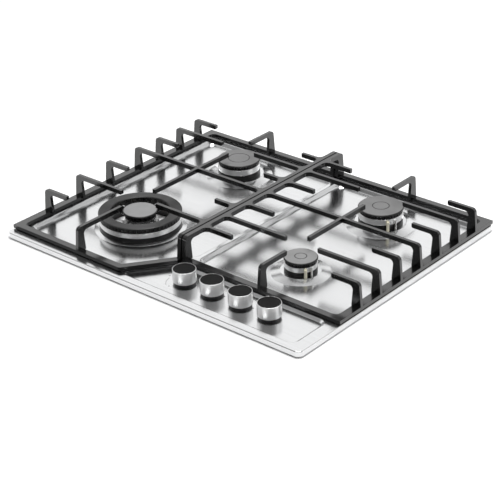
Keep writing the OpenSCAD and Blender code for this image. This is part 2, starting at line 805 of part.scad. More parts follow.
// Its middle rail with two legs and the inner fingers
module grate_left_rail() {
    half = (grate_back_y - right_grate_y) / 2;
    color([0.13, 0.13, 0.14]) {
        for (back = [0, 1])
            from_end(left_rail_x - rail_w / 2, back == 1 ? grate_back_y : right_grate_y, rail_w, back)
                leg_outline(half + over);
        pan_level()
            for (i = [1:6]) {
                tip = i == 1 ? -left_burner_x + wok_side_gap
                    : i == 5 ? -left_burner_x + rl_side_gap : rail_gap_x - left_stub;
                if (i != 3)
                    bar(tip, left_rows[i] - finger_w / 2, left_rail_x - rail_w / 2,
                        left_rows[i] + finger_w / 2);
                root_webs(left_rail_x - rail_w, left_rows[i], -1);
            }
    }
}

// The same three for the right grate
module grate_right_frame() {
    color([0.13, 0.13, 0.14]) difference() {
        union() {
            translate([0, 0, frame_z]) linear_extrude(frame_t) {
                bar(grate_x - side_bar_w, right_grate_y, grate_x, grate_back_y);
                bar(right_rail_x, grate_back_y - end_bar_w, grate_x, grate_back_y);
                bar(right_rail_x, right_grate_y, grate_x, right_grate_y + end_bar_w);
                frame_corner(grate_x - side_bar_w, right_grate_y + end_bar_w, -1, 1);
                frame_corner(grate_x - side_bar_w, grate_back_y - end_bar_w, -1, -1);
            }
            for (row = right_rows)
                from_side(grate_x, row) pad_outline();
            for (back = [0, 1]) {
                edge = back == 1 ? grate_back_y : right_grate_y;
                from_end(right_rail_x + rail_w / 2, edge, rail_w, back) pad_outline();
                from_end(right_burner_x, edge, finger_w, back) {
                    pad_outline();
                    leg_outline(back == 1 ? grate_back_y - rr_at.y - rr_back_gap
                        : fr_at.y - fr_front_gap - right_grate_y);
                }
            }
        }
        foot_holes(right_feet);
    }
}

module grate_right_fingers() {
    color([0.13, 0.13, 0.14]) {
        for (i = [0:6])
            from_side(grate_x, right_rows[i]) leg_outline(
                i == 1 ? grate_x - right_burner_x - fr_outer_gap
                : i == 5 ? grate_x - right_burner_x - rr_side_gap
                : i == 3 ? grate_x - right_rail_x - rail_w : short_reach);
        pan_level() {
            bar(right_burner_x - finger_w / 2, fr_at.y + fr_back_gap,
                right_burner_x + finger_w / 2, rr_at.y - rr_front_gap);
            bar(right_rail_x + rail_w, mid_row_y - finger_w / 2, right_burner_x, mid_row_y + finger_w / 2);
        }
    }
}

module grate_right_rail() {
    half = (grate_back_y - right_grate_y) / 2;
    color([0.13, 0.13, 0.14]) {
        for (back = [0, 1])
            from_end(right_rail_x + rail_w / 2, back == 1 ? grate_back_y : right_grate_y, rail_w, back)
                leg_outline(half + over);
        pan_level()
            for (i = [0:6]) {
                tip = i == 1 ? right_burner_x - fr_inner_gap
                    : i == 5 ? right_burner_x - rr_side_gap : rail_gap_x + right_stub;
                if (i != 3)
                    bar(right_rail_x + rail_w / 2, right_rows[i] - finger_w / 2, tip,
                        right_rows[i] + finger_w / 2);
                root_webs(right_rail_x + rail_w, right_rows[i], 1);
            }
    }
}

module feet(places) {
    color([0.08, 0.08, 0.08]) for (p = places)
        burner_place(p) {
            pole(foot_r, rim_h, frame_z);
            pole(peg_r, frame_z - foot_h / 2, frame_z + peg_h);
        }
}

module grate_left_feet() { feet(left_feet); }
module grate_right_feet() { feet(right_feet); }

// Enamelled base of a small burner, with its mixing cup below the plate
module burner_base(r, base_h, cup_r) {
    top = seat_z + base_h;
    color([0.07, 0.07, 0.07]) rotate_extrude() polygon([
        [injector_r, cup_bottom_z], [cup_r, cup_bottom_z], [cup_r, seat_z], [r, seat_z],
        [r - slide, top], [r - cast_wall, top], [r - cast_wall, top - head_lip - loose],
        [cup_r - cast_wall, top - head_lip - loose], [cup_r - cast_wall, cup_bottom_z + cast_wall],
        [injector_r, cup_bottom_z + cast_wall]]);
}

// Aluminium head of a small burner: an open dish with flame slots in its rim
module burner_head(r, base_h, band_h, slot_h, slots) {
    z0 = seat_z + base_h;
    z1 = z0 + band_h;
    z2 = z1 + slot_h;
    color("gainsboro") difference() {
        rotate_extrude() polygon([
            [venturi_r, z0 - head_lip], [r - cast_wall - slide, z0 - head_lip],
            [r - cast_wall - slide, z0], [r, z0], [r, z1], [r - sheet, z1], [r - sheet, z2],
            [r - 2 * cast_wall, z2], [r - 2 * cast_wall, z0 + cast_wall / 2],
            [venturi_r, z0 + cast_wall / 2]]);
        for (k = [0:slots - 1])
            rotate([0, 0, (k + 0.5) * 360 / slots])
                translate([r - 2 * cast_wall - over, -slot_w / 2, z1 + sheet / 2])
                    cube([2 * cast_wall + 2 * over, slot_w, slot_h]);
    }
}

// Enamelled cap with an engraved circle
module burner_cap(r, head_top_z) {
    outer = r + cap_over;
    groove = outer * groove_share;
    color("dimgray") difference() {
        union() {
            rotate_extrude() polygon([[0, head_top_z], [outer, head_top_z],
                [outer, head_top_z + cap_t / 2], [outer - cap_t / 2, head_top_z + cap_t],
                [0, head_top_z + cap_t]]);
            tube(r - 2 * cast_wall - slide, cast_wall / 2, head_top_z - cast_wall / 2,
                head_top_z + sheet / 2);
        }
        tube(groove + groove_w / 2, groove_w, head_top_z + cap_t - groove_d, head_top_z + cap_t + over);
    }
}

semi_head_top_z = seat_z + semi_base_h + semi_band_h + semi_slot_h;
aux_head_top_z = seat_z + aux_base_h + aux_band_h + aux_slot_h;

module burner_bases() {
    for (at = [rl_at, rr_at])
        burner_place(at) burner_base(semi_r, semi_base_h, semi_cup_r);
    burner_place(fr_at) burner_base(aux_r, aux_base_h, aux_cup_r);
}
module rear_left_head() {
    burner_place(rl_at) burner_head(semi_r, semi_base_h, semi_band_h, semi_slot_h, semi_slots);
}
module rear_right_head() {
    burner_place(rr_at) burner_head(semi_r, semi_base_h, semi_band_h, semi_slot_h, semi_slots);
}
module front_right_head() {
    burner_place(fr_at) burner_head(aux_r, aux_base_h, aux_band_h, aux_slot_h, aux_slots);
}
module rear_left_cap() { burner_place(rl_at) burner_cap(semi_r, semi_head_top_z); }
module rear_right_cap() { burner_place(rr_at) burner_cap(semi_r, semi_head_top_z); }
module front_right_cap() { burner_place(fr_at) burner_cap(aux_r, aux_head_top_z); }

// Wok burner levels
wok_base_top_z = wok_seat_z + wok_base_h;
wok_band_top_z = wok_base_top_z + wok_band_h;
wok_head_top_z = wok_band_top_z + wok_slot_h;
inner_head_r = wok_inner_r - cast_wall;
inner_seat_z = wok_band_top_z;
inner_head_top_z = wok_head_top_z + sheet / 2;
tower_r = 12;
spigot_r = tower_r - 4 * loose;
outer_jet_r = wok_ring_in - 2 * cast_wall;

module wok_base() {
    color([0.07, 0.07, 0.07]) burner_place(wok_at) difference() {
        union() {
            rotate_extrude() polygon([
                [injector_r, wok_cup_bottom_z], [wok_cup_r, wok_cup_bottom_z], [wok_cup_r, wok_seat_z],
                [wok_r, wok_seat_z], [wok_r - slide, wok_base_top_z],
                [wok_r - cast_wall, wok_base_top_z], [wok_r - cast_wall, wok_base_top_z - head_lip - loose],
                [wok_cup_r - cast_wall, wok_base_top_z - head_lip - loose],
                [wok_cup_r - cast_wall, wok_cup_bottom_z + cast_wall],
                [injector_r, wok_cup_bottom_z + cast_wall]]);
            tube(tower_r, cast_wall, wok_cup_bottom_z + sheet, wok_base_top_z);
        }
        translate([outer_jet_r, 0, 0]) pole(injector_r, wok_cup_bottom_z - over, wok_cup_bottom_z + cast_wall + over);
        for (d = [rear_spark_dir, rear_sensor_dir])
            translate(concat(wok_spark_at_r * d, [0]))
                pole(spark_r + spark_hole_gap, wok_cup_bottom_z - over, wok_cup_bottom_z + cast_wall + over);
    }
}

// Outer ring head with its two rows of flame slots
module wok_outer_head() {
    color("gainsboro") burner_place(wok_at) difference() {
        union() {
            rotate_extrude() polygon([
                [wok_ring_in, wok_base_top_z - head_lip], [wok_r - cast_wall - slide, wok_base_top_z - head_lip],
                [wok_r - cast_wall - slide, wok_base_top_z], [wok_r, wok_base_top_z],
                [wok_r, wok_band_top_z], [wok_r - sheet, wok_band_top_z], [wok_r - sheet, wok_head_top_z],
                [wok_r - cast_wall, wok_head_top_z], [wok_r - cast_wall, wok_base_top_z + cast_wall / 2],
                [wok_ring_in + cast_wall, wok_base_top_z + cast_wall / 2],
                [wok_ring_in + cast_wall, wok_head_top_z], [wok_ring_in, wok_head_top_z]]);
        }
        for (k = [0:wok_slots - 1])
            rotate([0, 0, (k + 0.5) * 360 / wok_slots])
                translate([wok_r - cast_wall - over, -slot_w / 2, wok_band_top_z + sheet / 2])
                    cube([cast_wall + 2 * over, slot_w, wok_slot_h]);
        for (k = [0:wok_slots / 2 - 1])
            rotate([0, 0, (k + 0.5) * 720 / wok_slots])
                translate([wok_ring_in - over, -slot_w / 2, wok_band_top_z + sheet / 2])
                    cube([cast_wall + 2 * over, slot_w, wok_slot_h]);
    }
}

// Hub that carries the inner head, on four bridges from the ring
module wok_bridges() {
    color("gainsboro") burner_place(wok_at) {
        tube(inner_head_r, inner_head_r - tower_r - slide, wok_base_top_z, inner_seat_z);
        intersection() {
            pole(wok_ring_in, wok_base_top_z, inner_seat_z);
            for (k = [0:bridge_count - 1])
                rotate([0, 0, k * 360 / bridge_count])
                    translate([tower_r + cast_wall, -bridge_w / 2, wok_base_top_z])
                        cube([wok_ring_in - tower_r, bridge_w, wok_band_h]);
        }
    }
}

module wok_ring_cap() {
    out = wok_r + cap_over;
    color([0.25, 0.25, 0.25]) burner_place(wok_at) rotate_extrude() polygon([
        [wok_ring_in - cap_over, wok_head_top_z], [out, wok_head_top_z],
        [out, wok_head_top_z + wok_cap_t / 2], [out - wok_cap_t / 2, wok_head_top_z + wok_cap_t],
        [wok_ring_in - cap_over + wok_cap_t / 2, wok_head_top_z + wok_cap_t],
        [wok_ring_in - cap_over, wok_head_top_z + wok_cap_t / 2]]);
}

module wok_inner_head() {
    color("gainsboro") burner_place(wok_at) difference() {
        rotate_extrude() polygon([
            [venturi_r, inner_seat_z - wok_band_h + sheet], [spigot_r, inner_seat_z - wok_band_h + sheet],
            [spigot_r, inner_seat_z], [inner_head_r, inner_seat_z],
            [inner_head_r, inner_head_top_z], [inner_head_r - cast_wall, inner_head_top_z],
            [inner_head_r - cast_wall, inner_seat_z + cast_wall / 2], [venturi_r, inner_seat_z + cast_wall / 2]]);
        for (k = [0:wok_inner_slots - 1])
            rotate([0, 0, (k + 0.5) * 360 / wok_inner_slots])
                translate([inner_head_r - cast_wall - over, -slot_w / 2, inner_seat_z + cast_wall / 2])
                    cube([cast_wall + 2 * over, slot_w, wok_slot_h]);
    }
}

module wok_inner_cap() {
    color("gray") burner_place(wok_at) union() {
        rotate_extrude() polygon([[0, inner_head_top_z], [wok_inner_r, inner_head_top_z],
            [wok_inner_r, inner_head_top_z + cap_t / 2], [wok_inner_r - cap_t / 2, inner_head_top_z + cap_t],
            [0, inner_head_top_z + cap_t]]);
        tube(inner_head_r - cast_wall - slide, cast_wall / 2, inner_head_top_z - cast_wall / 2,
            inner_head_top_z + sheet / 2);
    }
}

// Ceramic spark plug with its steel pin
module spark_plug(at, top_z) {
    burner_place(at) {
        pole(spark_r, spark_bottom_z, top_z);
        pole(spark_pin_r, top_z - sheet, top_z + 2 * sheet);
    }
}

semi_spark_top_z = seat_z + semi_base_h + spark_top_over;
aux_spark_top_z = seat_z + aux_base_h + spark_top_over;

module igniters() {
    color("ivory") {
        spark_plug(rl_spark, semi_spark_top_z);
        spark_plug(rr_spark, semi_spark_top_z);
        spark_plug(fr_spark, aux_spark_top_z);
        spark_plug(wok_spark, wok_base_top_z + spark_top_over);
    }
}

// Spark generator at the back of the box
module_w = 70;
module_d = 30;
module_h = 24;
module_x = 24;
module_gap = 3;
module_at = [module_x, box_back_y - box_sheet - module_d / 2 - module_gap];
terminal_l = 4;
terminal_pitch = 22;

module spark_module() {
    color("black") translate(concat(module_at, [box_in_z + module_h / 2]))
        cube([module_w, module_d, module_h], center = true);
    color("white") for (k = [-1, 0, 1])
        translate([module_at.x + k * terminal_pitch, module_at.y - module_d / 2 + over, lead_z])
            rotate([90, 0, 0]) cylinder(h = terminal_l + over, r = 2 * lead_r);
    color("white") translate([module_at.x - module_w / 2 + over, module_at.y, lead_z])
        rotate([0, -90, 0]) cylinder(h = terminal_l + over, r = 2 * lead_r);
}

// Ignition leads from the module to each plug
module_front_y = module_at.y - module_d / 2 - terminal_l;
module_left_x = module_at.x - module_w / 2 - terminal_l;
lead_xs = [for (k = [-1, 0, 1]) module_at.x + k * terminal_pitch];
lead_drop = 10;
wok_lane_off = 84;
wok_lane_front = 33.5;
fr_lane_in = 38;
wok_lane = [module_at.x - wok_lane_off, rl_at.y - wok_lane_front];
fr_lane_x = fr_at.x - fr_lane_in;

module igniter_leads() {
    color("firebrick") {
        pipe_run([[lead_xs[2], module_front_y, lead_z], [lead_xs[2], module_front_y - lead_drop, lead_z],
            [rr_spark.x, module_front_y - lead_drop, lead_z], [rr_spark.x, rr_spark.y, lead_z],
            [rr_spark.x, rr_spark.y, spark_bottom_z]], lead_r, lead_bend);
        pipe_run([[module_left_x, module_at.y, lead_z], [rl_spark.x, module_at.y, lead_z],
            [rl_spark.x, rl_spark.y, lead_z], [rl_spark.x, rl_spark.y, spark_bottom_z]], lead_r, lead_bend);
        pipe_run([[lead_xs[1], module_front_y, lead_z], [lead_xs[1], module_front_y - 2 * lead_drop, lead_z],
            [fr_lane_x, module_front_y - 2 * lead_drop, lead_z], [fr_lane_x, fr_spark.y, lead_z],
            [fr_spark.x, fr_spark.y, lead_z], [fr_spark.x, fr_spark.y, spark_bottom_z]], lead_r, lead_bend);
        pipe_run([[lead_xs[0], module_front_y, lead_z], [lead_xs[0], wok_lane.y, lead_z],
            [wok_lane.x, wok_lane.y, lead_z], [wok_lane.x, wok_spark.y, lead_z],
            [wok_spark.x, wok_spark.y, lead_z], [wok_spark.x, wok_spark.y, spark_bottom_z]],
            lead_r, lead_bend);
    }
}

// Flame sensors with their copper leads to the valves; each lead has its own lane behind the knobs
lane_near = 33;
lane_mid = 37;
lane_far = 43;
rr_lane_out = 82;
fr_lane_out = 50;
rl_lane_in = 92.5;
wok_sensor_in = 72.5;
rr_sensor_lane = [rr_at.x + rr_lane_out, knob_y + lane_near];
fr_sensor_lane = [fr_at.x + fr_lane_out, knob_y + lane_far];
rl_sensor_lane = [rl_at.x + rl_lane_in, knob_y + lane_mid];
wok_sensor_lane = [wok_at.x + wok_sensor_in, knob_y + lane_far];

module sensor_tip(at, top_z, low_z) {
    burner_place(at) pole(sensor_r, low_z, top_z);
}

// Last points of a lead, from its lane down into the port of knob k
function into_port(k, lane_y, z) = [[knob_xs[k] + sensor_port_off, lane_y, z],
    [knob_xs[k] + sensor_port_off, knob_y + sensor_port_back, z],
    [knob_xs[k] + sensor_port_off, knob_y + sensor_port_back, port_end_z]];

module sensor_lead(at, top_z, level, lane, k) {
    sensor_tip(at, top_z, level + lead_bend);
    pipe_run(concat([[at.x, at.y, seat_z], [at.x, at.y, level], [lane.x, at.y, level],
        [lane.x, lane.y, level]], into_port(k, lane.y, level)), copper_r, lead_bend);
}

module flame_sensors() {
    color("peru") {
        sensor_lead(rr_sensor, semi_spark_top_z, sensor_z, rr_sensor_lane, 2);
        sensor_lead(fr_sensor, aux_spark_top_z, sensor_high_z, fr_sensor_lane, 3);
        sensor_lead(rl_sensor, semi_spark_top_z, sensor_z, rl_sensor_lane, 1);
        sensor_tip(wok_sensor, wok_base_top_z + spark_top_over, spark_bottom_z);
        pipe_run(concat([[wok_sensor.x, wok_sensor.y, wok_cup_bottom_z],
            [wok_sensor.x, wok_sensor.y, spark_bottom_z - lead_bend],
            [wok_sensor_lane.x, wok_sensor.y, spark_bottom_z - lead_bend],
            [wok_sensor_lane.x, wok_sensor.y, sensor_high_z],
            [wok_sensor_lane.x, wok_sensor_lane.y, sensor_high_z]],
            into_port(0, wok_sensor_lane.y, sensor_high_z)), copper_r, lead_bend);
    }
}

// Knobs
module at_knob(k) { translate([knob_xs[k - 1], knob_y, 0]) children(); }

module knob(k) {
    web_z = knob_top_z - knob_top_t - web_t;
    color("silver") at_knob(k) {
        tube(knob_r, knob_wall, knob_z, knob_top_z);
        difference() {
            union() {
                pole(knob_r - knob_wall / 2, web_z, knob_top_z - knob_top_t);
                pole(hub_r, knob_z + ring_lap, web_z + web_t / 2);
            }
            pole(spindle_r + slide, knob_z - over, web_z);
        }
    }
}

module knob_top(k) {
    color([0.12, 0.12, 0.12]) at_knob(k)
        pole(knob_r - knob_wall - slide, knob_top_z - knob_top_t, knob_top_z);
}

module spindle(k) {
    color("goldenrod") at_knob(k)
        pole(spindle_r, plunger_z - spindle_tail, knob_top_z - knob_top_t - web_t);
}

module plunger(k) {
    color("darkgoldenrod") at_knob(k) tube(bore_r - slide, bore_r - 2 * slide - spindle_r,
        plunger_z, plunger_z + plunger_h);
}

module valve_spring(k) {
    color("lightgray") at_knob(k) tube(spring_r, spring_wall, bore_bottom_z, plunger_z);
}

module knob_rings() {
    color([0.08, 0.08, 0.08]) for (k = [1:4])
        at_knob(k) tube(ring_r, ring_wall, floor_z, knob_z + ring_lap);
}

// Valve body: bored barrel, saddle on the gas rail, sensor port and outlets
module valve(k, outlets) {
    at_knob(k) difference() {
        union() {
            pole(valve_r, valve_bottom_z, valve_top_z);
            translate([-block_w / 2, 0, rail_pipe_z - block_w / 2])
                cube([block_w, rail_pipe_y - knob_y - rail_pipe_r - loose, block_w]);
            translate([0, -block_w / 4, port_end_z - sheet])
                cube([sensor_port_off, block_w / 4 + sensor_port_back, port_top_z - port_end_z + sheet]);
            translate([sensor_port_off, sensor_port_back, 0])
                pole(sensor_port_r + sheet, port_end_z - sheet, port_top_z);
            for (x = outlets)
                translate([x, 0, 0])
                    pole(feed_r + 2 * sheet, valve_bottom_z - sheet, valve_bottom_z + 2 * sheet);
        }
        pole(bore_r, bore_bottom_z, valve_top_z + over);
        translate([sensor_port_off, sensor_port_back, 0]) pole(lead_r, port_end_z, valve_top_z + over);
    }
}

outlet_off = 5.5;
wok_outlets = [-outlet_off, outlet_off];

module gas_valves() {
    color("khaki") {
        valve(1, wok_outlets);
        for (k = [2:4])
            valve(k, [0]);
    }
}

// Angle bracket that carries the valves
bracket_t = 1.2;
bracket_foot = 14;

module valve_bracket() {
    x0 = knob_xs[0] - valve_r;
    x1 = knob_xs[3] + valve_r;
    y1 = knob_y - valve_r;
    color("lightgray") {
        translate([x0, y1 - bracket_t, box_in_z]) cube([x1 - x0, bracket_t, valve_top_z - box_in_z]);
        translate([x0, y1 - bracket_foot, box_in_z]) cube([x1 - x0, bracket_foot, bracket_t]);
    }
}

// Gas rail along the valves and its branch to the inlet at the back
rail_bend = 18;
rail_points = [[rail_start_x, rail_pipe_y, rail_pipe_z], [feed_x, rail_pipe_y, rail_pipe_z],
    [feed_x, feed_y, rail_pipe_z]];

module gas_rail() {
    color("silver") difference() {
        pipe_run(rail_points, rail_pipe_r, rail_bend);
        translate([-over, 0, 0]) pipe_run([rail_points[0] + [2 * over, 0, 0], rail_points[1] + [over, 0, 0],
            rail_points[2] + [over, over, 0]], rail_pipe_r - pipe_wall, rail_bend);
    }
}

// Inlet fitting: union nut on the rail, body through the back wall, threaded end
inlet_hex_r = 14;
inlet_hex_l = 10;
inlet_bore_r = 6.5;
relief_l = 2;

module gas_inlet() {
    color("goldenrod") difference() {
        union() {
            translate([feed_x, feed_y, inlet_z]) rotate([-90, 0, 0])
                cylinder(h = box_back_y - feed_y - box_sheet, r = inlet_hex_r, $fn = 6);
            translate([feed_x, box_back_y - box_sheet - over, inlet_z]) rotate([-90, 0, 0])
                cylinder(h = inlet_l + box_sheet + over, r = inlet_r - sheet);
            translate([feed_x, box_back_y + relief_l, inlet_z]) rotate([-90, 0, 0])
                cylinder(h = inlet_l - relief_l, r = inlet_r);
        }
        translate([feed_x, feed_y + inlet_hex_l, inlet_z]) rotate([-90, 0, 0])
            cylinder(h = box_back_y - feed_y + inlet_l, r = inlet_bore_r);
        translate([feed_x, feed_y - over, rail_pipe_z]) rotate([-90, 0, 0])
            cylinder(h = inlet_hex_l + 2 * over, r = rail_pipe_r - pipe_wall);
    }
}

// Aluminium pipes from the valves to the injectors
outer_jet = wok_at + [outer_jet_r, 0];
jet_bottom_z = -26;
lane_step = 12;
pipe_lane_back = 42;
lane_y = knob_y + pipe_lane_back;

module feed_pipe(x, turn_y, lane_x, at, level) {
    start = [x, knob_y, valve_bottom_z - sheet];
    pipe_run([start, [x, knob_y, level], [x, turn_y, level], [lane_x, turn_y, level],
        [lane_x, at.y, level], [lane_x, at.y, jet_bottom_z]], feed_r, pipe_bend);
}

module far_pipe(x, turn_y, lane_x, at, level) {
    start = [x, knob_y, valve_bottom_z - sheet];
    pipe_run([start, [x, knob_y, level], [x, turn_y, level], [lane_x, turn_y, level],
        [lane_x, at.y, level], [at.x, at.y, level], [at.x, at.y, jet_bottom_z]], feed_r, pipe_bend);
}

rl_pipe_in = 132.5;
rr_pipe_in = 68;
rl_lane_x = rl_at.x + rl_pipe_in;
rr_lane_x = rr_at.x - rr_pipe_in;

module burner_pipes() {
    color("gainsboro") {
        feed_pipe(knob_xs[0] + wok_outlets[0], lane_y, outer_jet.x, outer_jet, upper_pipe_z - sheet);
        feed_pipe(knob_xs[0] + wok_outlets[1], lane_y + lane_step, wok_at.x, wok_at, lower_pipe_z);
        far_pipe(knob_xs[1], lane_y + 2 * lane_step, rl_lane_x, rl_at, upper_pipe_z - sheet);
        far_pipe(knob_xs[2], lane_y + 3 * lane_step, rr_lane_x, rr_at, upper_pipe_z - sheet);
        feed_pipe(knob_xs[3], lane_y + 4 * lane_step, fr_at.x, fr_at, upper_pipe_z - sheet);
    }
}

// Brass injectors with their pipe nuts
jet_nut_r = 6;
jet_hole_r = 1;

module injector(at, cup_z) {
    burner_place(at) difference() {
        union() {
            translate([0, 0, jet_bottom_z]) cylinder(h = cup_z - jet_bottom_z, r = jet_nut_r, $fn = 6);
            pole(injector_r - slide, cup_z - over, cup_z + cast_wall + over);
        }
        pole(jet_hole_r, jet_bottom_z - over, cup_z + cast_wall + 2 * over);
    }
}

module injectors() {
    color("gold") {
        injector(rl_at, cup_bottom_z);
        injector(rr_at, cup_bottom_z);
        injector(fr_at, cup_bottom_z);
        injector(wok_at, wok_cup_bottom_z);
        injector(outer_jet, wok_cup_bottom_z);
    }
}

// Mains terminal block and gland, without a cord
terminal_w = 40;
terminal_d = 22;
terminal_h = 18;
terminal_gap = 38;

module terminal_block() {
    color("white") translate([gland_x - terminal_w / 2, box_back_y - terminal_gap - terminal_d, box_in_z])
        difference() {
            cube([terminal_w, terminal_d, terminal_h]);
            for (k = [0:2])
                translate([terminal_w * (k + 0.5) / 3, terminal_d / 2, terminal_h / 3])
                    cylinder(h = terminal_h, r = terminal_w / 12);
        }
}

gland_flange_t = 3;

module cable_gland() {
    color([0.1, 0.1, 0.1]) translate([gland_x, box_back_y, gland_z]) rotate([-90, 0, 0]) difference() {
        union() {
            cylinder(h = gland_flange_t * 3, r = gland_r);
            translate([0, 0, -4 * gland_flange_t]) cylinder(h = 5 * gland_flange_t, r = gland_neck_r);
        }
        translate([0, 0, -5 * gland_flange_t]) cylinder(h = 9 * gland_flange_t, r = gland_bore_r);
    }
}

top_plate();
rim_seal();
under_box();
plate_nuts();
fixing_clamps();
clamp_screws();
grate_left_frame();
grate_left_fingers();
grate_left_rail();
grate_left_feet();
grate_right_frame();
grate_right_fingers();
grate_right_rail();
grate_right_feet();
burner_bases();
rear_left_head();
rear_left_cap();
rear_right_head();
rear_right_cap();
front_right_head();
front_right_cap();
wok_base();
wok_outer_head();
wok_bridges();
wok_ring_cap();
wok_inner_head();
wok_inner_cap();
igniters();
igniter_leads();
flame_sensors();
spark_module();
knob(1);  // knob_1
knob(2);  // knob_2
knob(3);  // knob_3
knob(4);  // knob_4
knob_top(1);  // knob_top_1
knob_top(2);  // knob_top_2
knob_top(3);  // knob_top_3
knob_top(4);  // knob_top_4
spindle(1);  // spindle_1
spindle(2);  // spindle_2
spindle(3);  // spindle_3
spindle(4);  // spindle_4
plunger(1);  // plunger_1
plunger(2);  // plunger_2
plunger(3);  // plunger_3
plunger(4);  // plunger_4
valve_spring(1);  // valve_spring_1
valve_spring(2);  // valve_spring_2
valve_spring(3);  // valve_spring_3
valve_spring(4);  // valve_spring_4
knob_rings();
gas_valves();
valve_bracket();
gas_rail();
gas_inlet();
burner_pipes();
injectors();
terminal_block();
cable_gland();
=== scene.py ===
import json
import math

import bmesh
import bpy
from mathutils import Matrix, Vector
from mathutils.geometry import delaunay_2d_cdt


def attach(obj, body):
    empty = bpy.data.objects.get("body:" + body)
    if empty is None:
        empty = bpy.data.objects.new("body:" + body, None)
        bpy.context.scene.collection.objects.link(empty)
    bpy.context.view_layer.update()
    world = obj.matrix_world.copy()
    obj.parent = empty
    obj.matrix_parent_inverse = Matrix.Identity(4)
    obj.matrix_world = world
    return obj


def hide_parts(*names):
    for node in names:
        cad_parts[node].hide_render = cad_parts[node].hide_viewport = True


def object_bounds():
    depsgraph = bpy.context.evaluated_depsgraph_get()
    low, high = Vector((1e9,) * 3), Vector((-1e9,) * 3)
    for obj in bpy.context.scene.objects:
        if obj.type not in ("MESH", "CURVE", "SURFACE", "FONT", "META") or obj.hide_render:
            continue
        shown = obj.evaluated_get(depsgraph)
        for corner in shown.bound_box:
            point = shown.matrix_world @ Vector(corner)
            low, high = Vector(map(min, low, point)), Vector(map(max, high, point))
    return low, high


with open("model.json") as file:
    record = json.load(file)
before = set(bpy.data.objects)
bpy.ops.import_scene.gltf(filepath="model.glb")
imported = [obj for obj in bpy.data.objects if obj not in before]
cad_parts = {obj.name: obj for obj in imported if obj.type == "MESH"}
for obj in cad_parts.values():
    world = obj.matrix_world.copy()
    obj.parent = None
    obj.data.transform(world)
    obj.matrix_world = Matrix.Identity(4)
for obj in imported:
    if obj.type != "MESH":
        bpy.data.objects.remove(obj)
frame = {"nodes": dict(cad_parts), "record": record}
nodes = frame["nodes"]
cad_box = [list(v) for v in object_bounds()]
scene = bpy.context.scene


# Sizes and places in millimetres, in the frame of the solids

MM = 0.001
WELD = 0.002
CLEAR = 0.05

# The pressed plate: levels, sheet, bends and the edges of its floors
RIM_Z = 10.5
FLOOR_Z = 4.5
BAY_Z = 7.0
SKIRT_Z = 1.5
SHEET = 1.0
WALL_RUN = 4.0
PRESSED_R = 9.0
PLATE_CORNER_R = 10
FACE_BEND, RIM_BEND, HEM_BEND = 3.0, 1.4, 1.0
HEM_W = 9.4
FLAT_RUN = 9
SLANT_RUN = 0.75
WELL_X, WELL_BACK = 277, 224
LEFT_FRONT, RIGHT_FRONT = -212, -131.5
SLANT_X, SLANT_Y = -74.2, -119.6
WEB_LEFT, WEB_RIGHT = -4.9, 11.9
BAY_FRONT, BAY_BACK = -230.5, -160.5
BAY_LEFT, BAY_RIGHT = -61.825, 274

# Round seats pressed up in the wells, and the ports beside the burners
DOME = {"rise": 4.0, "level": 6.0, "slope": 15.0, "foot_bend": 3.0, "top_bend": 2.2}
WOK_DOME = {"rise": 1.5, "level": 1.0, "slope": 7.0, "foot_bend": 1.6, "top_bend": 0.6}
HOLE_CLEAR = 1.0
PORT_OUT, SPARK_PORT_R, SENSOR_PORT_R = 2.6, 3.0, 2.2
SPARK_WAY, SENSOR_WAY = (0.8, -0.6), (0.96, -0.28)
REAR_SPARK_WAY, REAR_SENSOR_WAY = (-0.8, 0.6), (-0.28, 0.96)

# What the burners share
CAST_WALL = 3
INJECTOR_R, THROAT_R = 3.5, 9
SPIGOT, LEDGE, TRAY = 2.5, 2.8, 0.5
HEAD_FLOOR = 1.5
EDGE_IN, EDGE_UP = 0.6, 0.8
SLOT_W, SLOT_FOOT = 1.8, 0.3
CUP_Z = -14
CAP_OVER, CAP_T = 0.8, 3.0


class SmallBurner:
    """Sizes of a burner made of an enamelled base, a slotted head and a cap."""

    def __init__(self, name, centre, base_r, cup_r, band_z, band_h, slot_h, teeth, groove_r, ways):
        self.name, self.centre, self.base_r, self.cup_r = name, centre, base_r, cup_r
        self.teeth, self.groove_r, self.ways = teeth, groove_r, ways
        self.band_z = band_z
        self.band_top = band_z + band_h
        self.head_top = self.band_top + slot_h
        self.cap_r = base_r + CAP_OVER
        self.cap_top = self.head_top + CAP_T


REAR_LEFT = SmallBurner("rear_left", (-152.5, 153.5), base_r=36, cup_r=28, band_z=18, band_h=9.5, slot_h=5.7,
                        teeth=36, groove_r=18.0, ways=(REAR_SPARK_WAY, REAR_SENSOR_WAY))
REAR_RIGHT = SmallBurner("rear_right", (148.0, 151.5), base_r=36, cup_r=28, band_z=18, band_h=9.5, slot_h=5.7,
                         teeth=36, groove_r=13.4, ways=(SPARK_WAY, SENSOR_WAY))
FRONT_RIGHT = SmallBurner("front_right", (148.0, -54.5), base_r=25.8, cup_r=19.8, band_z=15.5, band_h=7.5,
                          slot_h=5.5, teeth=24, groove_r=9.1, ways=(SPARK_WAY, SENSOR_WAY))

# The wok burner
WOK = (-152.5, -91.5)
WOK_R, WOK_CUP_R, TOWER_R = 67, 57, 12
WOK_CUP_Z, WOK_BASE_TOP, WOK_BAND_TOP = -18, 14, 22
RING_IN, RING_CAP_Z, RING_CAP_T = 50, 29.5, 2.4
WOK_SLOT_TOP = RING_CAP_Z - CLEAR
CROWN_R, CROWN_TOP, CROWN_CAP_R = 25, 30.0, 28.0
# Radius inside which the wok's ring head carries painted shade
WOK_SHADE_R = 58.0

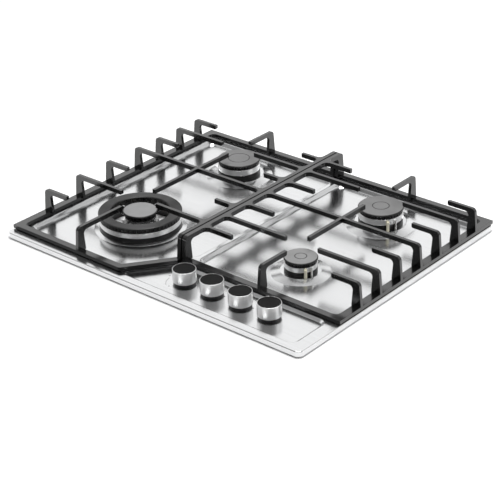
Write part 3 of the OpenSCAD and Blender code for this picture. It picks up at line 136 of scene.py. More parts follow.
# Knobs, their foot rings and the marks beside them
KNOB_XS, KNOB_Y = (35.0, 90.0, 145.0, 200.0), -192.5
KNOB_R, KNOB_WALL, KNOB_Z, KNOB_TOP = 18.2, 0.8, 11.2, 31.2
DISC_Z, DISC_TOP = 30, 31.05
SPINDLE_R, SPINDLE_HOLE_R = 3.0, 5.2
COLLAR_R, COLLAR_IN, COLLAR_TOP = 17.1, 15.9, 13.2
MARK_LOW, MARK_TOP = BAY_Z - 0.2, BAY_Z + 0.05
DOT_R = 1.1
DOT_STEP, FOURTH_DOT_STEP, DASH_STEP = (20.5, 4.5), (-11.5, -22.7), (-33.3, 2.4)
DASH_HALF = (2.0, 0.6)
ARC_R, ARC_START, ARC_STEP, ARC_DASHES = 28.5, 188, 4, 12
ARC_DASH_HALF = (1.05, 0.25)


# Node helpers

class Nodes:
    """A node tree and short ways to add its nodes, set their inputs and join them."""

    def __init__(self, tree):
        self.tree = tree

    def add(self, kind, **settings):
        node = self.tree.nodes.new(kind)
        for key, value in settings.items():
            setattr(node, key, value)
        return node

    def join(self, source, target):
        self.tree.links.new(source, target)

    def feed(self, value, target):
        """Joins another node's output to an input, or sets a constant on it; a colour is three numbers."""
        if isinstance(value, bpy.types.NodeSocket):
            self.join(value, target)
        else:
            target.default_value = (*value, 1.0) if target.type == "RGBA" else value

    def maths(self, operation, a, b):
        node = self.add("ShaderNodeMath", operation=operation)
        self.feed(a, node.inputs[0])
        self.feed(b, node.inputs[1])
        return node.outputs[0]

    def vector(self, x=0.0, y=0.0, z=0.0):
        node = self.add("ShaderNodeCombineXYZ")
        for value, target in zip((x, y, z), node.inputs):
            self.feed(value, target)
        return node.outputs[0]

    def spread(self, value, low, high, out_low=0.0, out_high=1.0, **settings):
        """Maps a value from one range to another."""
        node = self.add("ShaderNodeMapRange", **settings)
        self.join(value, node.inputs["Value"])
        for key, number in (("From Min", low), ("From Max", high), ("To Min", out_low), ("To Max", out_high)):
            node.inputs[key].default_value = number
        return node.outputs["Result"]


class Look(Nodes):
    """A procedural material that reads the object's coordinates."""

    def __init__(self, name):
        self.mat = bpy.data.materials.new(name)
        self.mat.use_nodes = True
        super().__init__(self.mat.node_tree)
        self.shader = self.tree.nodes["Principled BSDF"]
        self.where = self.add("ShaderNodeTexCoord").outputs["Object"]

    def stretch(self, sx, sy, sz):
        """The object's coordinates scaled, so that a pattern runs along one axis."""
        node = self.add("ShaderNodeMapping")
        self.join(self.where, node.inputs["Vector"])
        node.inputs["Scale"].default_value = (sx, sy, sz)
        return node.outputs["Vector"]

    def noise(self, vector, scale, detail=3.0, rough=0.5):
        node = self.add("ShaderNodeTexNoise")
        self.join(vector, node.inputs["Vector"])
        node.inputs["Scale"].default_value = scale
        node.inputs["Detail"].default_value = detail
        node.inputs["Roughness"].default_value = rough
        return node.outputs["Fac"]

    def mix(self, factor, a, b):
        """Mixes two colours; each is three numbers or another node's output."""
        node = self.add("ShaderNodeMix", data_type="RGBA")
        self.join(factor, node.inputs["Factor"])
        self.feed(a, node.inputs["A"])
        self.feed(b, node.inputs["B"])
        return node.outputs["Result"]

    def wander(self, first, second, low, high):
        """A roughness that wanders between two values with two noises."""
        return self.spread(self.maths("ADD", first, second), 0.7, 1.3, low, high)

    def height(self):
        """How high a point lies, in metres."""
        split = self.add("ShaderNodeSeparateXYZ")
        self.join(self.where, split.inputs[0])
        return split.outputs["Z"]

    def bump(self, height, strength, distance):
        node = self.add("ShaderNodeBump")
        self.join(height, node.inputs["Height"])
        node.inputs["Strength"].default_value = strength
        node.inputs["Distance"].default_value = distance
        self.join(node.outputs["Normal"], self.shader.inputs["Normal"])

    def put(self, **values):
        """Sets or joins the shader's inputs, each named with underscores for its spaces."""
        for key, value in values.items():
            self.feed(value, self.shader.inputs[key.replace("_", " ")])


def grey(level):
    return (level, level, level)


# Finishes

def brushed_plate():
    """Stainless sheet brushed from left to right, with faint blotches of gloss."""
    look = Look("brushed_plate")
    grain = look.noise(look.stretch(9, 900, 900), 1.0, 4.0, 0.6)
    cloud = look.noise(look.where, 9.0, 2.0)
    tone = look.spread(grain, 0.3, 0.7)
    look.put(Base_Color=look.mix(tone, (0.63, 0.635, 0.64), (0.73, 0.735, 0.74)), Metallic=1.0,
             Roughness=look.wander(grain, cloud, 0.15, 0.21),
             Anisotropic=0.45, Tangent=look.vector(y=1.0))
    look.bump(grain, 0.03, 0.0001)
    return look.mat


def turned_aluminium(name, low, high, rough_low, rough_high):
    """Machined aluminium with fine turning marks round its height."""
    look = Look(name)
    marks = look.noise(look.stretch(40, 40, 2600), 1.0, 3.0, 0.6)
    cloud = look.noise(look.where, 55.0, 2.0)
    look.put(Base_Color=look.mix(look.spread(marks, 0.3, 0.7), grey(low), grey(high)), Metallic=1.0,
             Roughness=look.wander(marks, cloud, rough_low, rough_high))
    look.bump(marks, 0.05, 0.0001)
    return look.mat


def cast_skin(name, low, high, rough_low, rough_high, grain=900.0, strength=0.03, ior=1.5, shine=0.5):
    """Enamelled or bare iron with a fine cast grain."""
    look = Look(name)
    grit = look.noise(look.where, grain, 4.0, 0.65)
    cloud = look.noise(look.where, 22.0, 3.0)
    look.put(Base_Color=look.mix(look.spread(cloud, 0.35, 0.65), grey(low), grey(high)), Metallic=0.0,
             Roughness=look.wander(grit, cloud, rough_low, rough_high),
             IOR=ior, Specular_IOR_Level=shine)
    look.bump(grit, strength, 0.0003)
    return look.mat


def painted_sheen_on_top(look, top_z, bright, dark, fade=0.4):
    """A colour with a painted highlight on a piece's top face and dark on its flanks; heights in millimetres.
    """
    sheen_share = look.spread(look.height(), (top_z - fade) * MM, top_z * MM)
    return sheen_share, look.mix(sheen_share, dark, bright)


def cap_enamel(name, top_z, low, high):
    """A cap's black enamel with a painted grey highlight on its top face, and its black flank."""
    look = Look(name)
    grit = look.noise(look.where, 900.0, 4.0, 0.65)
    cloud = look.noise(look.where, 30.0, 3.0)
    top = look.mix(look.spread(cloud, 0.35, 0.65), grey(low), grey(high))
    # The grey top colour is a painted highlight; the flank keeps the enamel's own black.
    sheen_share, tone = painted_sheen_on_top(look, top_z, top, grey(0.008))
    look.put(Base_Color=tone, Roughness=look.wander(grit, cloud, 0.38, 0.5),
             Specular_IOR_Level=look.spread(sheen_share, 0.0, 1.0, 0.35, 0.5))
    look.bump(grit, 0.04, 0.0003)
    return look.mat


def slotted_aluminium(name, split_z, centre=None, shade_r=0.0, fade=0.4):
    """Turned aluminium painted near black as shade above its plain band and, if asked, inside a radius; in
    millimetres.
    """
    look = Look(name)
    marks = look.noise(look.stretch(40, 40, 2600), 1.0, 3.0, 0.6)
    cloud = look.noise(look.where, 55.0, 2.0)
    # Painted shade: the slotted zone under the cap, and the inner part of a ring head, are coloured near
    # black.
    painted_shade = look.spread(look.height(), split_z * MM, (split_z + fade) * MM)
    if centre:
        flat_way = look.add("ShaderNodeVectorMath", operation="MULTIPLY_ADD")
        look.join(look.where, flat_way.inputs[0])
        flat_way.inputs[1].default_value = (1, 1, 0)
        flat_way.inputs[2].default_value = (-centre[0] * MM, -centre[1] * MM, 0)
        away = look.add("ShaderNodeVectorMath", operation="LENGTH")
        look.join(flat_way.outputs[0], away.inputs[0])
        near = look.spread(away.outputs["Value"], shade_r * MM, (shade_r - 1) * MM)
        painted_shade = look.maths("MAXIMUM", painted_shade, near)
    clean = look.mix(look.spread(marks, 0.3, 0.7), grey(0.84), grey(0.92))
    look.put(Base_Color=look.mix(painted_shade, clean, grey(0.012)), Metallic=look.spread(painted_shade, 0.0, 1.0, 1.0, 0.0),
             Roughness=look.wander(marks, cloud, 0.28, 0.38),
             Specular_IOR_Level=0.35)
    look.bump(marks, 0.05, 0.0001)
    return look.mat


def smooth_part(name, low, high, rough, metallic=0.0, scale=60.0, shine=0.5):
    """A plain moulded, drawn or turned surface with slight variation."""
    look = Look(name)
    cloud = look.noise(look.where, scale, 3.0)
    fine = look.noise(look.where, scale * 14, 2.0)
    look.put(Base_Color=look.mix(look.spread(cloud, 0.3, 0.7), low, high), Metallic=metallic,
             Roughness=look.wander(cloud, fine, rough * 0.85, rough * 1.15),
             Specular_IOR_Level=shine)
    look.bump(fine, 0.05, 0.0002)
    return look.mat


def sensor_copper(tip_z=3.0, fade=0.5):
    """Copper leads that end in steel tips above a height in millimetres."""
    look = Look("drawn_copper")
    cloud = look.noise(look.where, 60.0, 3.0)
    tip = look.spread(look.height(), tip_z * MM, (tip_z + fade) * MM)
    copper = look.mix(cloud, (0.66, 0.38, 0.24), (0.76, 0.47, 0.32))
    look.put(Base_Color=look.mix(tip, copper, (0.80, 0.80, 0.79)), Metallic=1.0,
             Roughness=look.spread(cloud, 0.3, 0.7, 0.22, 0.34))
    return look.mat


plate_look = brushed_plate()
grate_look = cast_skin("enamelled_grate", 0.002, 0.004, 0.14, 0.20, ior=1.7)
base_look = cast_skin("black_enamel", 0.006, 0.010, 0.30, 0.42, shine=0.3)
# The caps' grey tops are a painted highlight on black enamel, with a separate painted level for each cap.
cap_look = cap_enamel("small_cap_enamel", REAR_LEFT.cap_top, 0.11, 0.145)
small_cap_look = cap_enamel("smallest_cap_enamel", FRONT_RIGHT.cap_top, 0.17, 0.21)
wok_cap_look = cap_enamel("wok_cap_enamel", CROWN_TOP + CAP_T, 0.18, 0.225)
ring_cap_look = cast_skin("ring_cap_enamel", 0.012, 0.022, 0.34, 0.46, shine=0.35)
# The slotted zones above the plain bands, and the whole inner crown of the wok, carry painted shade.
head_look = slotted_aluminium("burner_aluminium", REAR_LEFT.band_top)
small_head_look = slotted_aluminium("small_burner_aluminium", FRONT_RIGHT.band_top)
wok_head_look = slotted_aluminium("wok_ring_aluminium", WOK_BAND_TOP, WOK, WOK_SHADE_R)
inner_head_look = slotted_aluminium("wok_crown_aluminium", WOK_BASE_TOP)
bridge_look = turned_aluminium("wok_bridge_aluminium", 0.46, 0.58, 0.20, 0.30)
knob_look = turned_aluminium("knob_aluminium", 0.76, 0.86, 0.38, 0.48)
FINISH = {
    "plate_steel": plate_look,
    "seal_foam": smooth_part("foam_seal", (0.46, 0.46, 0.46), (0.56, 0.56, 0.56), 0.9),
    "box_steel": smooth_part("galvanised_sheet", (0.52, 0.53, 0.54), (0.64, 0.65, 0.66), 0.42, 0.9, 30.0),
    "zinc_steel": smooth_part("zinc_plating", (0.60, 0.61, 0.62), (0.72, 0.73, 0.74), 0.34, 1.0),
    "grate_iron": grate_look,
    "foot_rubber": smooth_part("foot_rubber", (0.010, 0.010, 0.010), (0.018, 0.018, 0.018), 0.7),
    "igniter_ceramic": smooth_part("igniter_ceramic", (0.84, 0.79, 0.60), (0.90, 0.86, 0.70), 0.25),
    "lead_silicone": smooth_part("silicone_lead", (0.42, 0.40, 0.37), (0.50, 0.48, 0.45), 0.5),
    "sensor_copper": sensor_copper(),
    "module_plastic": smooth_part("moulded_module", (0.02, 0.02, 0.02), (0.035, 0.035, 0.035), 0.5),
    "black_plastic": smooth_part("moulded_black", (0.012, 0.012, 0.012), (0.02, 0.02, 0.02), 0.4),
    "valve_brass": smooth_part("valve_brass", (0.62, 0.50, 0.28), (0.74, 0.62, 0.38), 0.35, 1.0),
    "rail_steel": smooth_part("rail_steel", (0.56, 0.56, 0.57), (0.68, 0.68, 0.69), 0.3, 1.0),
    "fitting_brass": smooth_part("turned_brass", (0.70, 0.56, 0.28), (0.80, 0.67, 0.38), 0.25, 1.0),
    "pipe_aluminium": smooth_part("drawn_aluminium", (0.70, 0.70, 0.71), (0.80, 0.80, 0.81), 0.35, 1.0),
    "terminal_plastic": smooth_part("terminal_plastic", (0.74, 0.74, 0.72), (0.80, 0.80, 0.78), 0.35),
    "enamel_base": base_look,
    "burner_aluminium": head_look,
    "enamel_cap": cap_look,
    "enamel_ring_cap": ring_cap_look,
    "knob_aluminium": knob_look,
    "knob_black": smooth_part("knob_black", (0.008, 0.008, 0.008), (0.013, 0.013, 0.013), 0.5, shine=0.03),
    "spring_steel": smooth_part("spring_steel", (0.60, 0.60, 0.60), (0.70, 0.70, 0.70), 0.3, 1.0),
}
slot_of = {s["node"]: s["material_slot"] for s in frame["record"]["subparts"]}
for name, piece in nodes.items():
    piece.data.materials.clear()
    piece.data.materials.append(FINISH[slot_of[name]])


# Finishing and section helpers

BODY_OF = {n: body for body, names in frame["record"]["behaviour"]["bodies"].items() for n in names}


def baked(piece):
    """Puts the result of the piece's modifiers in its mesh."""
    graph = bpy.context.evaluated_depsgraph_get()
    graph.update()
    mesh = bpy.data.meshes.new_from_object(piece.evaluated_get(graph))
    piece.modifiers.clear()
    piece.data = mesh
    mesh.name = piece.name


def finished(piece, stands_for, look=None, sharp=35):
    """Shades the piece, weighs its normals by area and puts it in place of its solids."""
    mesh = piece.data
    mesh.materials.clear()
    mesh.materials.append(look or FINISH[slot_of[stands_for[0]]])
    mesh.polygons.foreach_set("material_index", [0] * len(mesh.polygons))
    mesh.polygons.foreach_set("use_smooth", [True] * len(mesh.polygons))
    mesh.set_sharp_from_angle(angle=math.radians(sharp))
    weigh = piece.modifiers.new("normals", "WEIGHTED_NORMAL")
    weigh.weight = 100
    weigh.keep_sharp = True
    baked(piece)
    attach(piece, BODY_OF[stands_for[0]])
    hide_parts(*stands_for)


def new_piece(name, points, faces, weld=WELD):
    """A closed mesh from points in millimetres, doubles merged and faces turned outwards."""
    mesh = bpy.data.meshes.new(name)
    mesh.from_pydata([(x * MM, y * MM, z * MM) for x, y, z in points], [], faces)
    work = bmesh.new()
    work.from_mesh(mesh)
    bmesh.ops.remove_doubles(work, verts=work.verts, dist=weld * MM)
    bmesh.ops.dissolve_degenerate(work, edges=work.edges, dist=weld * MM / 4)
    bmesh.ops.recalc_face_normals(work, faces=work.faces)
    work.to_mesh(mesh)
    work.free()
    piece = bpy.data.objects.new(name, mesh)
    scene.collection.objects.link(piece)
    return piece


def rectangle(x0, y0, x1, y1):
    return [(x0, y0), (x1, y0), (x1, y1), (x0, y1)]


def eased(points, radii, steps=5):
    """A section line whose inner corners are rounded with the given radii."""
    line = [tuple(points[0])]
    for before, corner, after, radius in zip(points, points[1:], points[2:], radii):
        corner = Vector(corner)
        a = (Vector(before) - corner).normalized()
        b = (Vector(after) - corner).normalized()
        half = a.angle(b) / 2
        if radius <= 0 or half > math.radians(89):
            line.append(tuple(corner))
            continue
        middle = corner + (a + b).normalized() * radius / math.sin(half)
        first = corner + a * radius / math.tan(half) - middle
        sweep = math.pi - 2 * half
        sign = 1 if a.x * b.y - a.y * b.x < 0 else -1
        for k in range(steps + 1):
            t = sign * sweep * k / steps
            line.append((middle.x + first.x * math.cos(t) - first.y * math.sin(t),
                         middle.y + first.x * math.sin(t) + first.y * math.cos(t)))
    line.append(tuple(points[-1]))
    return line


def eased_ring(points, radii, steps=5):
    """A closed section with every corner rounded."""
    line = eased([points[-1], *points, points[0]], radii, steps)
    return line[1:-1]


def turned(section, centre, steps=128):
    """Points and faces of a closed section (radius, height) turned round an upright axis."""
    points = []
    for k in range(steps):
        a = 2 * math.pi * k / steps
        points += [(centre[0] + r * math.cos(a), centre[1] + r * math.sin(a), z) for r, z in section]
    n = len(section)
    faces = [(k * n + i, (k + 1) % steps * n + i, (k + 1) % steps * n + (i + 1) % n, k * n + (i + 1) % n)
             for k in range(steps) for i in range(n)]
    return points, faces


def from_axis(centre, way, distance):
    return centre[0] + way[0] * distance, centre[1] + way[1] * distance


def prism(centre, way, first, last):
    """A closed block between two outlines; each point is given along the way, across it and in height."""
    across = (-way[1], way[0])
    points = [(centre[0] + way[0] * a + across[0] * b, centre[1] + way[1] * a + across[1] * b, z)
              for a, b, z in first + last]
    n = len(first)
    faces = [(i, (i + 1) % n, n + (i + 1) % n, n + i) for i in range(n)]
    return points, faces + [tuple(range(n - 1, -1, -1)), tuple(range(n, 2 * n))]


def joined(*parts):
    """One list of points and faces out of several."""
    points, faces = [], []
    for more_points, more_faces in parts:
        start = len(points)
        points += more_points
        faces += [tuple(start + i for i in face) for face in more_faces]
    return points, faces


# The pressed plate

def outline(corners, radius, grow, steps=10):
    """Points round a convex outline with rounded corners, grown outwards."""
    n = len(corners)
    line = []
    for i in range(n):
        corner = Vector(corners[i])
        into = (corner - Vector(corners[i - 1])).normalized()
        away = (Vector(corners[(i + 1) % n]) - corner).normalized()
        left_in, left_out = Vector((-into.y, into.x)), Vector((-away.y, away.x))
        centre = corner + radius * (left_in + left_out) / (1 + left_in.dot(left_out))
        start = math.atan2(-left_in.y, -left_in.x)
        sweep = math.atan2(into.x * away.y - into.y * away.x, into.dot(away))
        for k in range(steps + 1):
            a = start + sweep * k / steps
            line.append((centre.x + (radius + grow) * math.cos(a), centre.y + (radius + grow) * math.sin(a)))
    return line


def circle(centre, radius, steps=96):
    return [(centre[0] + radius * math.cos(2 * math.pi * k / steps),
             centre[1] + radius * math.sin(2 * math.pi * k / steps)) for k in range(steps)]


def inside(point, line):
    """Whether a point lies in a convex outline that runs anticlockwise."""
    return all((b[0] - a[0]) * (point[1] - a[1]) - (b[1] - a[1]) * (point[0] - a[0]) > 0
               for a, b in zip(line, line[1:] + line[:1]) if (b[0] - a[0]) ** 2 + (b[1] - a[1]) ** 2 > 1e-8)


def flat(outer, holes, z):
    """A level face between an outline and its holes, cut in triangles."""
    points, edges = [], []
    for line in [outer, *holes]:
        start = len(points)
        points += [Vector(p) for p in line]
        edges += [(start + i, start + (i + 1) % len(line)) for i in range(len(line))]
    found, _, faces, _, _, _ = delaunay_2d_cdt(points, edges, [], 0, 1e-5)
    kept = []
    for face in faces:
        middle = [sum(found[i][k] for i in face) / len(face) for k in (0, 1)]
        if inside(middle, outer) and not any(inside(middle, hole) for hole in holes):
            kept.append(tuple(face))
    return [(p.x, p.y, z) for p in found], kept


def bands(lines):
    """Faces between successive closed lines that have the same number of points."""
    n = len(lines[0])
    points = [p for line in lines for p in line]
    faces = [(j * n + i, j * n + (i + 1) % n, (j + 1) * n + (i + 1) % n, (j + 1) * n + i)
             for j in range(len(lines) - 1) for i in range(n)]
    return points, faces


def raised(line, z):
    return [(x, y, z) for x, y in line]


WHOLE = rectangle(*(round(v / MM, 3) for v in (*cad_box[0][:2], *cad_box[1][:2])))
LEFT_WELL = [(-WELL_X, LEFT_FRONT), (SLANT_X, LEFT_FRONT), (WEB_LEFT, SLANT_Y), (WEB_LEFT, WELL_BACK),
             (-WELL_X, WELL_BACK)]
RIGHT_WELL = rectangle(WEB_RIGHT, RIGHT_FRONT, WELL_X, WELL_BACK)
KNOB_BAY = [(BAY_LEFT, BAY_FRONT), (BAY_RIGHT, BAY_FRONT), (BAY_RIGHT, BAY_BACK),
            (BAY_LEFT + (BAY_BACK - BAY_FRONT) * SLANT_RUN, BAY_BACK)]


def seat(centre, base_r, cup_r, ways, rise, level, slope, foot_bend, top_bend):
    """A round seat pressed up in a well: its faces, and the circle it takes out of the floor."""
    top = FLOOR_Z + rise
    foot, hole_r = base_r + level + slope, cup_r + HOLE_CLEAR
    side = eased([(foot + FLAT_RUN, FLOOR_Z), (foot, FLOOR_Z), (base_r + level, top), (hole_r, top)],
                 [foot_bend, top_bend])[1:-1]
    holes = [circle(centre, hole_r)]
    for way, port_r in zip(ways, (SPARK_PORT_R, SENSOR_PORT_R)):
        holes.append(circle(from_axis(centre, way, base_r + PORT_OUT), port_r, 24))
    ring = bands([raised(circle(centre, r), z) for r, z in side])
    return joined(ring, flat(circle(centre, side[-1][0]), holes, top)), circle(centre, side[0][0])


def plate_skin():
    """The pressed plate: border, skirt, wells, knob bay and burner seats with rounded bends."""
    edge = eased([(-FLAT_RUN, RIM_Z), (0, RIM_Z), (0, SKIRT_Z), (-HEM_W, SKIRT_Z)], [RIM_BEND, HEM_BEND])[1:]
    parts, openings, floors = [], [], []
    for area, low in ((LEFT_WELL, FLOOR_Z), (RIGHT_WELL, FLOOR_Z), (KNOB_BAY, BAY_Z)):
        wall = eased([(WALL_RUN + FLAT_RUN, RIM_Z), (WALL_RUN, RIM_Z), (0, low), (-FLAT_RUN, low)],
                     [FACE_BEND, FACE_BEND])[1:-1]
        lines = [raised(outline(area, PRESSED_R, grow), z) for grow, z in wall]
        parts.append(bands(lines))
        openings.append([p[:2] for p in lines[0]])
        floors.append(([p[:2] for p in lines[-1]], low))
    rim = [raised(outline(WHOLE, PLATE_CORNER_R, grow), z) for grow, z in edge]
    parts.append(bands(rim))
    parts.append(flat([p[:2] for p in rim[0]], openings, RIM_Z))
    seats = [[seat(WOK, WOK_R, WOK_CUP_R, (), **WOK_DOME)], []]
    for side, burner in ((0, REAR_LEFT), (1, REAR_RIGHT), (1, FRONT_RIGHT)):
        seats[side].append(seat(burner.centre, burner.base_r, burner.cup_r, burner.ways, **DOME))
    parts += [faces for well in seats for faces, _ in well]
    cut = [[taken for _, taken in well] for well in seats]
    cut.append([circle((x, KNOB_Y), SPINDLE_HOLE_R, 32) for x in KNOB_XS])
    for (line, low), holes in zip(floors, cut):
        parts.append(flat(line, holes, low))
    piece = new_piece("pressed_plate", *joined(*parts))
    mesh = piece.data
    top = max(mesh.polygons, key=lambda f: f.area)
    if top.normal.z < 0:
        mesh.flip_normals()
    thick = piece.modifiers.new("sheet", "SOLIDIFY")
    thick.thickness = SHEET * MM
    thick.offset = -1
    baked(piece)
    finished(piece, ["top_plate"], sharp=40)


# Cast grates

def welded(mesh, flat_angle=None):
    """Merges a mesh's doubles and, if asked, the faces that lie in one plane."""
    work = bmesh.new()
    work.from_mesh(mesh)
    bmesh.ops.remove_doubles(work, verts=work.verts, dist=WELD * MM)
    if flat_angle:
        bmesh.ops.dissolve_limit(work, angle_limit=math.radians(flat_angle),
                                 verts=work.verts, edges=work.edges)
    work.to_mesh(mesh)
    work.free()


def softened(name, casting, width, segments=2, angle=28):
    """One casting out of the solids it is split into, with flat faces joined and edges rounded."""
    piece = bpy.data.objects.new(name, nodes[casting[0]].data.copy())
    scene.collection.objects.link(piece)
    for more in casting[1:]:
        part = bpy.data.objects.new(more + "_part", nodes[more].data.copy())
        scene.collection.objects.link(part)
        welded(piece.data)
        welded(part.data)
        union = piece.modifiers.new("union", "BOOLEAN")
        union.operation = "UNION"
        union.solver = "EXACT"
        union.object = part
        baked(piece)
        bpy.data.objects.remove(part)
    welded(piece.data, flat_angle=0.5)
    bevel = piece.modifiers.new("edge", "BEVEL")
    bevel.width = width * MM
    bevel.segments = segments
    bevel.limit_method = "ANGLE"
    bevel.angle_limit = math.radians(angle)
    baked(piece)
    finished(piece, casting, sharp=50)


# Burners

def cap_section(radius, low, groove_r=None):
    """Half section of a cap with a soft edge and, if asked, an engraved circle."""
    top = low + CAP_T
    points = [(0, low), (radius - 0.2, low), (radius, low + 0.4), (radius, top - 1.3), (radius - 1.5, top)]
    radii = [0, 0.15, 0.15, 0.6, 0.8]
    if groove_r:
        half_top, half_floor, depth = 0.7, 0.4, 0.6
        points += [(groove_r + half_top, top), (groove_r + half_floor, top - depth),
                   (groove_r - half_floor, top - depth), (groove_r - half_top, top)]
        radii += [0.15, 0.1, 0.1, 0.15]
    points.append((0, top))
    radii.append(0)
    return eased_ring(points, radii, 4)


def cap(name, node, centre, radius, low, groove_r, look):
    """A burner cap with the ring below that centres it."""
    lip_out, lip_in, lip_low, lip_high = radius - 6.9, radius - 8.4, low - 1.5, low + 0.5
    lip = eased_ring(rectangle(lip_in, lip_low, lip_out, lip_high), [0.2] * 4, 2)
    disc = turned(cap_section(radius, low, groove_r), centre, 160)
    finished(new_piece(name, *joined(disc, turned(lip, centre, 64))), [node], look)


def flame_teeth():
    """Nodes that stand a row of teeth on a ring, with flame slots left between them."""
    group = bpy.data.node_groups.new("flame_teeth", "GeometryNodeTree")
    group.interface.new_socket("Geometry", in_out="OUTPUT", socket_type="NodeSocketGeometry")
    names = {}
    for label, kind, value in (("Ring", "NodeSocketGeometry", None), ("Teeth", "NodeSocketInt", 36),
                               ("Middle Radius", "NodeSocketFloat", 0.03),
                               ("Depth", "NodeSocketFloat", 0.004), ("Width", "NodeSocketFloat", 0.004),
                               ("Height", "NodeSocketFloat", 0.005), ("Foot Height", "NodeSocketFloat", 0.02),
                               ("Centre X", "NodeSocketFloat", 0.0),
                               ("Centre Y", "NodeSocketFloat", 0.0), ("Look", "NodeSocketMaterial", None)):
        socket = group.interface.new_socket(label, in_out="INPUT", socket_type=kind)
        if value is not None:
            socket.default_value = value
        names[label] = socket.identifier
    row = Nodes(group)
    given, out = row.add("NodeGroupInput").outputs, row.add("NodeGroupOutput")
    ring = row.add("GeometryNodeMeshCircle")
    row.join(given["Teeth"], ring.inputs["Vertices"])
    row.join(given["Middle Radius"], ring.inputs["Radius"])
    place = row.add("GeometryNodeTransform")
    row.join(ring.outputs["Mesh"], place.inputs["Geometry"])
    middle_z = row.maths("ADD", given["Foot Height"], row.maths("MULTIPLY", given["Height"], 0.5))
    row.join(row.vector(given["Centre X"], given["Centre Y"], middle_z), place.inputs["Translation"])
    tooth = row.add("GeometryNodeMeshCube")
    row.join(row.vector(given["Depth"], given["Width"], given["Height"]), tooth.inputs["Size"])
    index = row.add("GeometryNodeInputIndex")
    turn = row.maths("MULTIPLY", index.outputs[0], row.maths("DIVIDE", 2 * math.pi, given["Teeth"]))
    stand = row.add("GeometryNodeInstanceOnPoints")
    row.join(place.outputs["Geometry"], stand.inputs["Points"])
    row.join(tooth.outputs["Mesh"], stand.inputs["Instance"])
    row.join(row.vector(z=turn), stand.inputs["Rotation"])
    real = row.add("GeometryNodeRealizeInstances")
    row.join(stand.outputs["Instances"], real.inputs["Geometry"])
    both = row.add("GeometryNodeJoinGeometry")
    row.join(real.outputs["Geometry"], both.inputs["Geometry"])
    row.join(given["Ring"], both.inputs["Geometry"])
    paint = row.add("GeometryNodeSetMaterial")
    row.join(both.outputs["Geometry"], paint.inputs["Geometry"])
    row.join(given["Look"], paint.inputs["Material"])
    row.join(paint.outputs["Geometry"], out.inputs["Geometry"])
    return group, names


TEETH, TEETH_INPUT = flame_teeth()


def with_teeth(piece, look, centre, rows):
    """Adds rows of teeth, each given as count, outer radius, depth, foot height and top height."""
    for count, radius, depth, foot, top in rows:
        row = piece.modifiers.new("teeth", "NODES")
        row.node_group = TEETH
        middle = radius - depth / 2
        sizes = {"Middle Radius": middle, "Depth": depth, "Width": 2 * math.pi * middle / count - SLOT_W,
                 "Height": top - foot, "Foot Height": foot, "Centre X": centre[0], "Centre Y": centre[1]}
        for label, size in sizes.items():
            row[TEETH_INPUT[label]] = size * MM
        row[TEETH_INPUT["Teeth"]] = count
        row[TEETH_INPUT["Look"]] = look
    baked(piece)


def cup_base(centre, base_r, cup_r, cup_z, seat_z, top, corners, steps=128):
    """An enamelled base: a cup below the plate and a wall that carries the slotted head."""
    section = [(INJECTOR_R, cup_z), (cup_r, cup_z), (cup_r, seat_z), (base_r - EDGE_IN, seat_z),
               (base_r, seat_z + EDGE_UP), (base_r - CLEAR, top), (base_r - CAST_WALL, top),
               (base_r - CAST_WALL, top - LEDGE), (cup_r - CAST_WALL, top - LEDGE),
               (cup_r - CAST_WALL, cup_z + CAST_WALL), (INJECTOR_R, cup_z + CAST_WALL)]
    return turned(eased_ring(section, corners), centre, steps)


def small_bases(*burners):
    """The enamelled bases of the three small burners."""
    corners = [0, 1, 0.5, 0.3, 0.4, 0.4, 0.4, 0.3, 0.3, 0.5, 0]
    seat_z = FLOOR_Z + DOME["rise"]
    bases = [cup_base(b.centre, b.base_r, b.cup_r, CUP_Z, seat_z, b.band_z, corners) for b in burners]
    finished(new_piece("burner_enamel_bases", *joined(*bases)), ["burner_bases"])


def small_burner(burner, metal, enamel):
    """Slotted head and cap of a small burner."""
    r, low, top = burner.base_r, burner.band_z, burner.band_top
    spigot_r, tray_r = r - CAST_WALL - CLEAR, r - 2 * CAST_WALL
    section = [(THROAT_R, low - SPIGOT), (spigot_r, low - SPIGOT), (spigot_r, low), (r, low), (r, top),
               (r - 1, top), (r - 1.3, top + TRAY), (tray_r, top + TRAY), (tray_r, low + HEAD_FLOOR),
               (THROAT_R, low + HEAD_FLOOR)]
    head = eased_ring(section, [0.3, 0.3, 0.1, 0.5, 0.5, 0.1, 0.1, 0.3, 0.5, 0.3])
    piece = new_piece(burner.name + "_slotted_head", *turned(head, burner.centre))
    with_teeth(piece, metal, burner.centre, [(burner.teeth, r - 1, 4.8, top + SLOT_FOOT, burner.head_top)])
    finished(piece, [burner.name + "_head"], metal)
    cap(burner.name + "_round_cap", burner.name + "_cap", burner.centre, burner.cap_r, burner.head_top,
        burner.groove_r, enamel)


def wok_base():
    """The wok burner's enamelled base with the tower that feeds its middle."""
    base = cup_base(WOK, WOK_R, WOK_CUP_R, WOK_CUP_Z, FLOOR_Z + WOK_DOME["rise"], WOK_BASE_TOP,
                    [0, 1, 0.4, 0.3, 0.4, 0.5, 0.4, 0.3, 0.5, 0.5, 0], 160)
    foot = WOK_CUP_Z + 1
    tower = eased_ring(rectangle(THROAT_R, foot, TOWER_R, WOK_BASE_TOP), [0.2] * 4, 2)
    finished(new_piece("wok_enamel_base", *joined(base, turned(tower, WOK, 64))), ["wok_base"])


